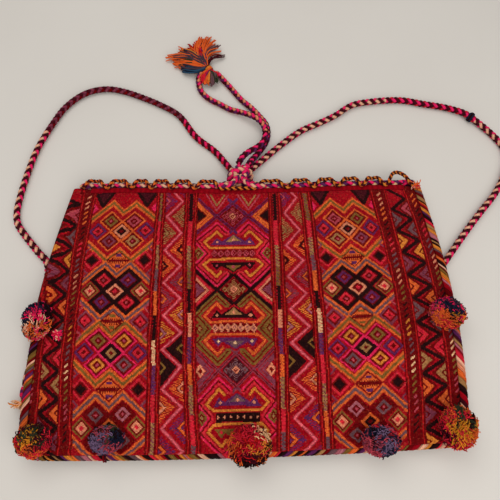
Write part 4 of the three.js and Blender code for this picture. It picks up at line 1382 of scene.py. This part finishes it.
def loop_points(face):
    """Places of the scalloped braid, from valley to valley over the drawstring. The front's
    last arch is the tall open loop at the corner, and the one at the knot is held flat."""
    span = 2 * (1 - loop_end / rim_half)
    flat = drawstring_reach + valley_inset
    arc = math.pi / 2 * scallop_radius
    outward = 1 if face == "front" else -1
    knot_share = (span / 2 + middle_share) / span
    points = []
    for k, (start, end) in enumerate(zip(LOOP_VALLEYS[:-1], LOOP_VALLEYS[1:])):
        share = np.arange(0 if k == 0 else 1, 11) / 10
        wave = (1 - np.cos(2 * np.pi * share)) / 2
        if face == "front" and start < knot_share < end:
            wave = wave * 0
        tall = face == "front" and k == len(LOOP_VALLEYS) - 2
        wave = wave**0.6 if tall else 0.16 + 0.84 * wave**0.85
        travelled = wave * (flat + arc)
        turn = (travelled - flat) / scallop_radius
        on_hem = travelled < flat
        spot = drawstring_points(face, span * (start + (end - start) * share - 0.5))
        spot[:, 1] += np.where(on_hem, travelled - flat,
                               scallop_radius * np.sin(turn) + tall * tall_reach * wave**3)
        spot[:, 2] += outward * np.where(
            on_hem, low_rise + (scallop_radius - low_rise) * travelled / flat,
            scallop_radius * np.cos(turn))
        points.append(spot)
    return np.vstack(points)


loop_yarns = [(0.4, ("orange", "maroon"), ("maroon", "gold")),
              (1, ("gold", "maroon"), ("black", "orange"))]
for face, radius in (("front", 2.1), ("back", 1.8)):
    lay_cord(face + "_loop_braid", face + "_scallops", loop_points(face), radius, loop_yarns,
             13, "dark_braid", sides=20)


# %% [markdown]
# ## The knot
# The drawstring's ends, the straps and the tie cords are tied together in one tight knot. Only
# its outside can be seen, so it isn't tied strand through strand. Three tilted rings of braid
# lie through each other as the turns of the knot, two runs bring the drawstring in, and four
# more bring in the straps and the tie cords.

# %% Knot
_, _, knot_centre = drawn_box("centre_knot")
knot_yarns = [(1, ("hot", "peach"), ("purple", "hot"))]
ring_radius, ring_rise, ring_tilt, knot_pitch = 10.4, 8.6, math.radians(62), 19
knot_runs = []
for k in range(3):
    turn = np.linspace(0, 2 * np.pi * 1.04, 30)
    x, y = ring_radius * np.cos(turn), ring_radius * np.sin(turn) * math.cos(ring_tilt)
    z = ring_rise * np.sin(turn) * math.sin(ring_tilt) + 0.5 * np.sin(3 * turn)
    spin = k * 2 * math.pi / 3 + 0.3
    ring = np.stack([x * math.cos(spin) - y * math.sin(spin),
                     x * math.sin(spin) + y * math.cos(spin), z], 1)
    knot_runs.append((4.5, knot_centre + ring))
for hand in (-1, 1):
    knot_runs.append((3.2, np.array([knot_middle]) + [
        (hand * 1, -2, 9), (hand * 3.5, -8, 12.2), (hand * 7, -14, 14.4), (hand * 13, -17.6, 15.2),
        (hand * 20, -17.2, 14.2), (hand * 26, -15.6, 12.5)]))
for route in (strap_left_route, strap_right_route, tie_inner_route, tie_outer_route):
    start = np.array(route[0])
    heart = knot_centre + (start - knot_centre) * 0.35
    knot_runs.append((3.7, np.array([heart, (heart + start) / 2 + (0, 0, 1.5), start])))
for letter, (radius, run) in zip("abcdefghi", knot_runs):
    turn_of_knot, _, _ = braid("knot_turn_" + letter, run, radius, knot_yarns, knot_pitch)
    stands_for(turn_of_knot, "centre_knot")
print("runs in the knot", len(knot_runs))

# %% [markdown]
# ## Loose yarn
# Pompoms, tassel and tufts are bunches of yarn, each strand its own soft tube. Blender's hair
# would draw them, but it isn't a solid shape, and the bag's pieces have to be. A curve object
# with a bevel makes many tubes at once; it is then turned into a mesh, and each strand gets its
# own yarn.


# %% Bunches of yarn
def bunch(name, strands, radius, shades, sides=0):
    """Strands of yarn from rows of places in metres, with a colour for each. Both ends of a
    strand draw in to a point, so its tube is closed."""
    curve = bpy.data.curves.new(name, "CURVE")
    curve.dimensions = "3D"
    curve.bevel_depth = radius / 1000
    curve.bevel_resolution = sides
    for row in strands:
        row = np.asarray(row)
        row = np.vstack([row[0] + unit(row[0] - row[1]) * radius / 2000, row,
                         row[-1] + unit(row[-1] - row[-2]) * radius / 1200])
        spline = curve.splines.new("POLY")
        spline.points.add(len(row) - 1)
        full = np.ones((len(row), 4))
        full[:, :3] = row
        spline.points.foreach_set("co", full.ravel())
        thick = np.ones(len(row))
        thick[[0, -1]] = 0
        spline.points.foreach_set("radius", thick)
    maker = added(name + "_maker", curve)
    depsgraph = bpy.context.evaluated_depsgraph_get()
    mesh = bpy.data.meshes.new_from_object(maker.evaluated_get(depsgraph))
    bpy.data.objects.remove(maker)
    mesh.name = name
    coloured(mesh, np.repeat(shades, len(mesh.polygons) // len(strands), axis=0), 0.05)
    bm = bmesh.new()
    bm.from_mesh(mesh)
    bmesh.ops.remove_doubles(bm, verts=bm.verts, dist=weld)
    bm.to_mesh(mesh)
    bm.free()
    mesh.materials.clear()
    return smooth_piece(name, mesh, loose)


def curl(start, end, bend, wander, steps=6):
    """Rows of places from start to end, each bent aside and a little crooked."""
    t = np.linspace(0, 1, steps)[None, :, None]
    way = end - start
    aside = np.cross(way, chance.standard_normal(way.shape))
    aside /= np.linalg.norm(aside, axis=1)[:, None].clip(1e-9)
    length = np.linalg.norm(way, axis=1)[:, None]
    rows = start[:, None] * (1 - t) + end[:, None] * t
    rows = rows + (aside * length * bend)[:, None] * np.sin(np.pi * t)
    return rows + wander / 1000 * chance.standard_normal(rows.shape) * np.minimum(t * 3, 1)


def scattered(count, *ranges):
    """Places drawn at random, each between the lowest and highest given for X, Y and Z."""
    return np.column_stack([chance.uniform(low, high, count) for low, high in ranges])


def tuft(name, starts, ends, yarns, node, bend=0.15, wander=0.3, radius=0.5):
    """A bunch of crooked strands from starts to ends, each in one of the yarns."""
    rows = curl(placed(starts), placed(ends), bend, wander)
    piece = bunch(name, rows, radius, SHADES[chance.choice(codes(*yarns), len(starts))])
    stands_for(piece, node)
    print(name, "strands", len(starts))


# %% [markdown]
# ## The pompoms
# Seven pompoms are tied to the edging. Each is a tied bunch of cut yarn in patches of colour,
# and lies squashed under its own weight on the cloth and the floor. Strands that all stood
# straight out would look like a brush. Real ones cling together, so they come out in locks that
# bend over, round a core that keeps the light from passing through. The core has the patches'
# yarns, darkened as painted shade deep in the pile. A table says where the patches of a pompom
# are, as shares of its size from its middle, and a lock takes the yarn of the nearest one.

# %% Patches of the pompoms
POMPOMS = {  # slot, size beside its solid, shift in mm, and patches: yarn, across and up
    "left_side": ("navy_yarn", (0.94, 1.18, 0.85), (-2.7, -0.8), [
        ("navy", -0.45, 0.55), ("navy", -0.75, 0.1), ("navy", 0.1, 0.9), ("navy", -0.35, -0.15),
        ("pink", 0.1, 0.45), ("pink", -0.1, 0.1), ("pink", 0.35, 0.2), ("black", 0.65, 0.5),
        ("black", 0.65, 0.0), ("black", 0.2, -0.2), ("peach", -0.55, -0.5), ("peach", 0.1, -0.5),
        ("orange", -0.2, -0.65), ("orange", 0.45, -0.5), ("pink", 0.05, -0.95)]),
    "left_corner": ("mustard_yarn", (0.88, 0.76, 0.8), (-1.3, -2.6), [
        ("mustard", 0.0, 0.4), ("mustard", -0.15, 0.15), ("maroon", -0.55, 0.7),
        ("green", 0.2, 0.9), ("maroon", 0.6, 0.35), ("coral", 0.85, -0.1), ("orange", 0.3, -0.85),
        ("coral", -0.3, -0.75), ("green", -0.6, 0.0), ("orange", -0.75, -0.6),
        ("maroon", 0.05, -0.35), ("green", 0.45, -0.2), ("orange", 0.05, -0.6),
        ("coral", 0.55, -0.6), ("maroon", -0.9, 0.2)]),
    "bottom_left": ("rose_yarn", (0.85, 0.68, 0.75), (2.7, 0.5), [
        ("rose", -0.05, 0.15), ("rose", 0.15, -0.3), ("lilac", -0.65, -0.1),
        ("lilac", -0.35, -0.5), ("green", 0.35, 0.85), ("black", 0.8, 0.4), ("rose", -0.55, 0.5),
        ("lilac", 0.3, 0.45), ("navy", 0.65, -0.1), ("black", -0.75, 0.2), ("lilac", 0.1, -0.8),
        ("rose", 0.6, -0.7), ("navy", -0.2, -0.1)]),
    "bottom_centre": ("crimson_yarn", (0.86, 0.82, 0.85), (4.6, 1.4), [
        ("line", 0.0, 0.2), ("coral", -0.4, 0.3), ("coral", 0.3, -0.1), ("line", -0.2, -0.2),
        ("coral", 0.1, 0.6), ("cream", 0.6, 0.75), ("gold", 0.8, 0.3), ("black", 0.6, 0.45),
        ("orange", -0.9, 0.0), ("black", 0.15, -0.8), ("orange", -0.6, -0.8),
        ("orange", 0.55, -0.8), ("gold", 0.4, -0.5), ("maroon", -0.5, -0.5),
        ("black", 0.85, -0.3)]),
    "bottom_right": ("navy_yarn", (0.93, 0.76, 0.85), (4.0, -1.0), [
        ("navy", 0.0, -0.1), ("navy", -0.6, 0.5), ("mauve", -0.5, 0.0), ("coral", 0.45, 0.7),
        ("rose", 0.6, 0.2), ("lilac", 0.0, 0.5), ("navy", 0.75, -0.4), ("rose", -0.3, -0.85),
        ("lilac", 0.1, -0.5), ("black", 0.85, 0.7), ("black", -0.25, 0.25), ("navy", 0.3, -0.85),
        ("rose", -0.8, -0.4)]),
    "right_corner": ("orange_yarn", (0.78, 0.86, 0.85), (3.6, -3.4), [
        ("mustard", 0.0, -0.25), ("mustard", -0.3, -0.2), ("mustard", 0.25, 0.0),
        ("coral", -0.6, 0.35), ("green", 0.45, 0.4), ("orange", 0.6, -0.8), ("orange", 0.9, -0.2),
        ("green", -0.4, 0.15), ("maroon", -0.6, -0.6), ("coral", -0.1, -0.8), ("coral", 0.0, 0.5),
        ("orange", 0.8, 0.6), ("green", 0.1, 0.9), ("orange", -0.4, 0.8), ("black", 0.7, 0.15)]),
    "right_side": ("slate_yarn", (0.92, 0.82, 0.85), (0.9, 3.0), [
        ("navy", 0.1, 0.6), ("black", -0.1, 0.1), ("pink", -0.4, 0.65), ("rose", -0.65, 0.2),
        ("navy", 0.4, 0.1), ("mustard", 0.4, -0.3), ("orange", -0.05, -0.45),
        ("pink", 0.85, -0.2), ("coral", -0.2, -0.9), ("slate", 0.7, 0.7), ("orange", -0.6, -0.4),
        ("black", 0.2, -0.75), ("orange", 0.65, -0.65)]),
}


def nearest_patch(ways, patches, mixing=0.09):
    """The number of the nearest patch for each way out of the pompom."""
    spots = np.array([spot for _, *spot in patches])
    away = np.linalg.norm(ways[:, None, :2] - spots[None], axis=2)
    return (away + mixing * chance.standard_normal(away.shape)).argmin(axis=1)


def patch_shades(ways, patches, *mixing):
    """The yarn's colour for each way out of the pompom."""
    yarns = codes(*(yarn for yarn, *_ in patches))
    return SHADES[yarns[nearest_patch(ways, patches, *mixing)]]


# %% Locks of a pompom
lock_count, lock_strands, pile_radius, above_floor = 150, 10, 0.45, 0.0009


def lock_ways(count):
    """Directions all round, a few more of them upwards."""
    ways = chance.standard_normal((count, 3))
    ways[:, 2] = ways[:, 2] * 0.9 + 0.2
    return unit(ways)


def pile(middle, reach, patches):
    """Strands that come out of a pompom in locks. The strands of a lock have one yarn and bend
    over one way, some locks much and some little."""
    lock = np.repeat(np.arange(lock_count), lock_strands)
    each = (len(lock), 1, 1)
    heads = lock_ways(lock_count)
    shades = patch_shades(heads, patches, 0.16) * chance.uniform(0.7, 1.15, (lock_count, 1))
    leans = unit(np.cross(heads, chance.standard_normal((lock_count, 3))))
    bent = chance.random((lock_count, 1, 1))[lock] ** 1.5
    ways = unit(heads[lock] + 0.15 * chance.standard_normal((len(lock), 3)))
    lean = leans[lock] + 0.22 * chance.standard_normal((len(lock), 3))
    t = np.linspace(0, 1, 7)[None, :, None]
    sweep = (0.12 + 0.50 * bent + 0.08 * chance.random(each)) * t**1.7
    rise = 0.50 - 0.20 * bent + 0.08 * chance.standard_normal(each)
    out = 0.5 + rise * np.sin(t * 1.5)
    aside = 0.05 * np.sin(5 * t + 6 * chance.random(each))
    rows = ways[:, None] * out + lean[:, None] * sweep + np.cross(ways, lean)[:, None] * aside
    far = np.linalg.norm(rows, axis=2, keepdims=True)
    limit = 0.98 + 0.16 * chance.random(each) ** 4
    rows = middle + rows * np.minimum(1, limit / far) * reach
    rows[:, :, 2] = rows[:, :, 2].clip(above_floor)
    return rows, shades[lock] * chance.uniform(0.7, 1.15, (len(lock), 1))


# %% Pompoms
# The core takes its patches' yarns, darkened as painted shade deep inside the pile.
core_share, core_painted_shade = 0.78, 0.35
for name, (slot, size, shift, patches) in POMPOMS.items():
    low, high = (np.array(corner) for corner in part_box("pompom_" + name))
    reach = (high - low) / 2 * size
    middle = (low + high) / 2 + [shift[0] / 1000, shift[1] / 1000, 0]
    middle[2] = low[2] + reach[2]
    strands, shades = pile(middle, reach, patches)
    pile_piece = bunch("pompom_pile_" + name, strands, pile_radius, shades)
    bm = bmesh.new()
    bmesh.ops.create_icosphere(bm, subdivisions=4, radius=1)
    bmesh.ops.scale(bm, vec=reach * core_share, verts=bm.verts)
    bmesh.ops.translate(bm, vec=middle, verts=bm.verts)
    core = bpy.data.meshes.new("pompom_core_" + name)
    bm.to_mesh(core)
    bm.free()
    ways = (np.array([face.center for face in core.polygons]) - middle) / reach
    coloured(core, patch_shades(ways / core_share, patches) * core_painted_shade)
    core.materials.append(loose)
    for piece in (pile_piece, added("pompom_core_" + name, core)):
        stands_for(piece, "pompom_" + name, "pompom_" + name)
    print("pompom", name, "strands", len(strands))


# %% [markdown]
# ## Ties and wrapped places
# A fine yarn goes round the edging and into each pompom. The sewn strap ends, the whipping on
# the right strap and the tassel's neck are bound with yarn, turn beside turn. A wound coil
# would show gaps at its bends, so a bound place is one closed body with a ridge for each turn.

# %% Ties of the pompoms
wrap_radius, wrap_end = 0.00535, 76  # in metres, and in degrees from the top
tie_gap, tie_yarn_radius = 0.9, 0.85
joints = {joint["name"]: joint for joint in frame["record"]["behaviour"]["joints"]}
for name in POMPOMS:
    joint = joints["pompom_swing_" + name]
    origin, axis = np.array(joint["pos_m"], float), np.array(joint["axis"], float)
    low, high = (np.array(corner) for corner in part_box("pompom_" + name))
    middle = (low + high) / 2
    out = origin - middle
    out[2] = 0
    out = unit(out - axis * out.dot(axis))
    turn = np.radians(np.linspace(wrap_end, 0, 9))[:, None]
    wrap = origin + wrap_radius * (out * np.sin(turn) + np.array([0, 0, 1.0]) * np.cos(turn))
    inside = wrap[-1] + (middle - wrap[-1]) * 0.5
    strands = [np.vstack([wrap, inside[None]]) + axis * side * tie_gap / 1000
               for side in (-1, 1)]
    tie = bunch("tie_" + name, strands, tie_yarn_radius, SHADES[codes("dark", "maroon")], 2)
    stands_for(tie, "pompom_tie_" + name, "pompom_" + name)
print("ties", len(POMPOMS))


# %% Bound places
def bound(name, start, end, profile, yarns, turns, node):
    """A body of wound yarn from start to end. profile gives the radius along it, in mm."""
    start, end = np.asarray(start, float), np.asarray(end, float)
    length = np.linalg.norm(end - start)
    way = (end - start) / length
    side = unit(np.cross(way, [0, 0, 1.0]))
    up = np.cross(side, way)
    yarns = codes(*yarns)

    def place(u, v):
        reach = np.interp(v, np.linspace(0, 1, len(profile)), profile)
        turn = 2 * np.pi * u
        ridge = 0.3 * abs(np.sin(np.pi * (v * turns + u))) - 0.2
        reach = np.maximum(reach + ridge * (reach > 1), 0.02)
        spot = start + way * (v * length)[:, None]
        ring = side * np.cos(turn)[:, None] + up * np.sin(turn)[:, None]
        return placed(spot + ring * reach[:, None])

    def paint(u, v):
        """Each yarn covers a little over two ridges."""
        return SHADES[yarns[np.floor((v * turns + u) / 2.2).astype(int) % len(yarns)]]

    wool = woollen(name + "_wool", plied(8, turns * 2), 0.5)
    piece = net(name, 24, max(24, turns * 6), place, paint, wool, rolled=True)
    stands_for(piece, node)
    print(name, round(length, 1), "mm")


# %% Strap ends
end_profile, end_turns, end_strands = [3.2, 3.8, 4.1, 4.0, 4.1, 3.6, 2.2, 0.2], 9, 26
for name, yarns, fringe in (
    ("strap_end_left", ("pink", "purple", "pink", "rose"), ("cream", "mustard", "peach")),
    ("strap_end_right", ("maroon", "pink", "maroon", "cream"), ("orange", "coral", "cream")),
):
    low, high, middle = drawn_box(name)
    top, foot = (middle[0], high[1], middle[2]), (middle[0], low[1] + 8.5, middle[2])
    bound(name + "_binding", top, foot, end_profile, yarns, end_turns, name)
    starts = (middle[0], low[1] + 9.5, middle[2]) + chance.uniform(-2.2, 2.2, (end_strands, 3))
    ends = (middle[0], low[1] + 0.5, middle[2]) + scattered(
        end_strands, (-3.4, 3.4), (0, 3), (-3.2, 2.6))
    tuft(name + "_tuft", starts, ends, fringe, name, bend=0.08, radius=0.55)


# %% Whipping and tassel neck
before, piecing, after = np.array([(242.4, 105.8, 5.8), (248.9, 100.1, 5.8), (256, 93.2, 5.8)])
half_whipping = unit(after - before) * 2.9
bound("strap_binding", piecing - half_whipping, piecing + half_whipping,
      [4.0, 5.1, 5.5, 5.55, 5.5, 5.1, 4.0], ("navy", "black"), 6, "strap_whipping")
_, _, neck_middle = drawn_box("tassel_neck")
half_neck = np.array([-2.4, 3.1, 0])
neck_lift = (0, 0, 0.6)
bound("tassel_binding", neck_middle + half_neck + neck_lift, neck_middle - half_neck + neck_lift,
      [3.4, 4.4, 4.6, 4.6, 4.4, 3.4], ("maroon", "gold", "orange", "black"), 7,
      "tassel_neck")


# %% [markdown]
# ## The tassel
# Beyond its bound neck the tassel's long yarns fan out over the floor, and their short other
# ends stand out on the near side. A fan of evenly spread strands would look combed. The real
# one was pressed into bundles, each of one yarn, so a table gives the way, the reach and the
# bend of each bundle, and only the strands inside a bundle are left to chance.

# %% Bundles of the tassel
BUNDLES = [  # degrees, reach in mm, width, bend, yarn and strands of each bundle
    (183, 31, 3.0, -0.16, "teal", 14), (175, 33, 4.0, -0.12, "smoke", 16),
    (169, 42, 3.5, 0.02, "orange", 18), (160, 52, 3.0, 0.14, "orange", 20),
    (156, 44, 3.5, 0.08, "smoke", 16), (150, 44, 3.0, 0.1, "coral", 12),
    (143, 42, 3.0, 0.1, "gold", 7), (139, 40, 4.0, 0.06, "smoke", 16),
    (131, 41, 3.5, 0.08, "orange", 16), (124, 44, 4.5, 0.06, "line", 16),
    (117, 40, 4.0, 0.1, "purple", 10), (111, 43, 4.0, -0.04, "coral", 16),
    (104, 47, 4.0, -0.16, "orange", 18), (98, 38, 4.0, -0.18, "smoke", 14),
    (91, 50, 3.0, -0.1, "orange", 14), (83, 44, 3.0, -0.16, "orange", 9),
    (74, 38, 3.0, -0.2, "slate", 8), (65, 33, 3.0, -0.24, "orange", 6),
    (52, 30, 2.0, -0.2, "maroon", 6), (128, 34, 6.0, 0.12, "smoke", 14),
    (153, 36, 5.0, 0.0, "orange", 14), (99, 33, 6.0, -0.1, "line", 14),
    (165, 37, 4.0, 0.1, "green", 8), (136, 47, 3.0, 0.03, "orange", 10),
    (186, 17, 3.0, -0.1, "orange", 10), (179, 30, 3.0, -0.1, "navy", 10),
]
SHORT_BUNDLES = [
    (232, 17, 3.0, 0.1, "orange", 16), (245, 19, 2.5, 0.05, "coral", 14),
    (258, 20, 3.0, 0.0, "orange", 14), (270, 18, 2.0, 0.0, "gold", 9),
    (280, 20, 3.0, -0.05, "slate", 14), (292, 19, 3.0, -0.1, "green", 12),
    (305, 16, 3.0, -0.1, "slate", 10), (240, 14, 3.0, 0.0, "purple", 8),
    (318, 12, 2.5, -0.1, "coral", 8),
]


# %% Tassel
tassel_root, head_root = neck_middle + (-1.6, 2.6, 0.4), neck_middle + (1.4, -2.6, 0.8)
tassel_radius, on_floor, on_top = 0.8, 0.9, 1.8


def fanned(root, bundles, tip_height, spread_height):
    """Strands of several bundles of yarn that leave root and come to lie near the floor."""
    rows, shades = [], []
    t = np.linspace(0, 1, 9)[None]
    for degrees, reach, width, bend, yarn, count in bundles:
        turn = math.radians(degrees)
        way = np.array([math.cos(turn), math.sin(turn), 0])
        across = np.array([way[1], -way[0], 0])
        spread, level = chance.uniform(-1, 1, (2, count, 1))
        run = reach * (0.80 + 0.21 * chance.random((count, 1)))
        aside = spread * (0.8 + width * t**1.3) + bend * reach * np.sin(np.pi * t)
        aside = aside + 1.1 * chance.standard_normal((count, 1)) * np.sin(2 * np.pi * t) * t
        row = root + way * (run * t)[:, :, None] + across * aside[:, :, None]
        low = tip_height + spread_height * level + (on_top if yarn in ("smoke", "gold") else 0)
        row[:, :, 2] = (root[2] + 2.2 * level) * (1 - t) + low * t + 2.0 * np.sin(np.pi * t)
        row[:, :, 2] += 0.5 * chance.standard_normal((count, 1)) * np.sin(2 * np.pi * t)
        row[:, :, 2] = row[:, :, 2].clip(on_floor)
        rows.append(row)
        shades.append(np.repeat(SHADES[codes(yarn)], count, axis=0))
    return placed(np.vstack(rows)), np.vstack(shades)


for name, root, bundles, tip_height, spread_height, node, body in (
    ("tassel_fan", tassel_root, BUNDLES, 4.2, 3.2, "tassel_skirt", "tassel_skirt"),
    ("tassel_short_ends", head_root, SHORT_BUNDLES, 7.5, 2.2, "tassel_head", "bag"),
):
    strands, shades = fanned(root, bundles, tip_height, spread_height)
    piece = bunch(name, strands, tassel_radius, shades)
    stands_for(piece, node, body)
    print(name, "strands", len(strands))


# %% [markdown]
# ## Small tufts
# The tall loop's end has frayed, a small pink tuft is sewn on near the left edge, and a few
# yarns hang out of the edging below it. They are only a few strands each, but without them the
# bag would look new.

# %% Frayed end, sewn tuft and loose ends
fray_root = loop_points("front")[-1]
fray_strands, tuft_strands, loose_strands = 40, 60, 22
tuft("frayed_end", fray_root + chance.uniform(-1.2, 1.2, (fray_strands, 3)),
     fray_root + scattered(fray_strands, (-1, 8), (-3, 6), (-3.5, 2.5)),
     ("orange", "peach", "orange", "coral"), "front_loop_braid")

low, high, middle = drawn_box("small_tuft")
ways = unit(chance.standard_normal((tuft_strands, 3)))
tuft("sewn_tuft", middle + ways * 0.6, middle + ways * (high - low) / 2,
     ("pink", "pink", "coral", "peach"), "small_tuft", wander=0.4, radius=0.6)

loose_height = -211
left_edge, _ = spaced(seam("left"), 1.0)
outside = left_edge[abs(left_edge[:, 1] - loose_height).argmin()]
tuft("loose_ends", outside + chance.uniform(-1.5, 1.5, (loose_strands, 3)) + (-2.5, 0, 1),
     outside + scattered(loose_strands, (-15, -7), (-4, 4), (-7, 1)),
     ("gold", "cream", "gold", "peach"), "left_edging", bend=0.12)


# %% [markdown]
# ## Floor and lamps
# The floor is pale and plain. Two wide soft lamps and a pale world light the bag evenly, so a
# colour comes out about as it is written. One strong lamp would model the yarns more sharply,
# but it would also bleach the pinks and drown the dark reds.

# %% Floor
floor_half = 1.6
bm = bmesh.new()
bmesh.ops.create_grid(bm, x_segments=1, y_segments=1, size=floor_half)
floor_mesh = bpy.data.meshes.new("floor")
bm.to_mesh(floor_mesh)
bm.free()
floor = added("floor", floor_mesh)
pale = Finish("pale_floor")
shade = pale.node("ShaderNodeMix", {"data_type": "RGBA"}, {
    0: noise(pale, 6.0, 3.0), 6: (0.60, 0.565, 0.52, 1), 7: (0.65, 0.62, 0.575, 1)})[2]
floor_mesh.materials.append(pale.finish(Base_Color=shade, Roughness=0.9, Specular_IOR_Level=0.2))
print("floor", 2 * floor_half, "m wide")


# %% Lamps
lamp_width = 1.2


def lamp(name, place, aim, power, tint):
    """A square soft lamp."""
    light = bpy.data.lights.new(name, "AREA")
    light.size = lamp_width
    light.energy = power
    light.color = tint
    aimed(added(name, light), place, aim)
    print("lamp", name, power, "W")


lamp("window", (-0.25, 0.45, 1.25), (0, 0, 0), 6.8, (1.0, 0.985, 0.965))
lamp("fill", (0.35, -0.75, 1.0), (0, -0.1, 0), 10.5, (1.0, 0.98, 0.96))
world = bpy.data.worlds.new("world")
world.use_nodes = True
sky = world.node_tree.nodes["Background"]
sky.inputs["Color"].default_value = (1, 0.99, 0.975, 1)
sky.inputs["Strength"].default_value = 0.42
scene.world = world
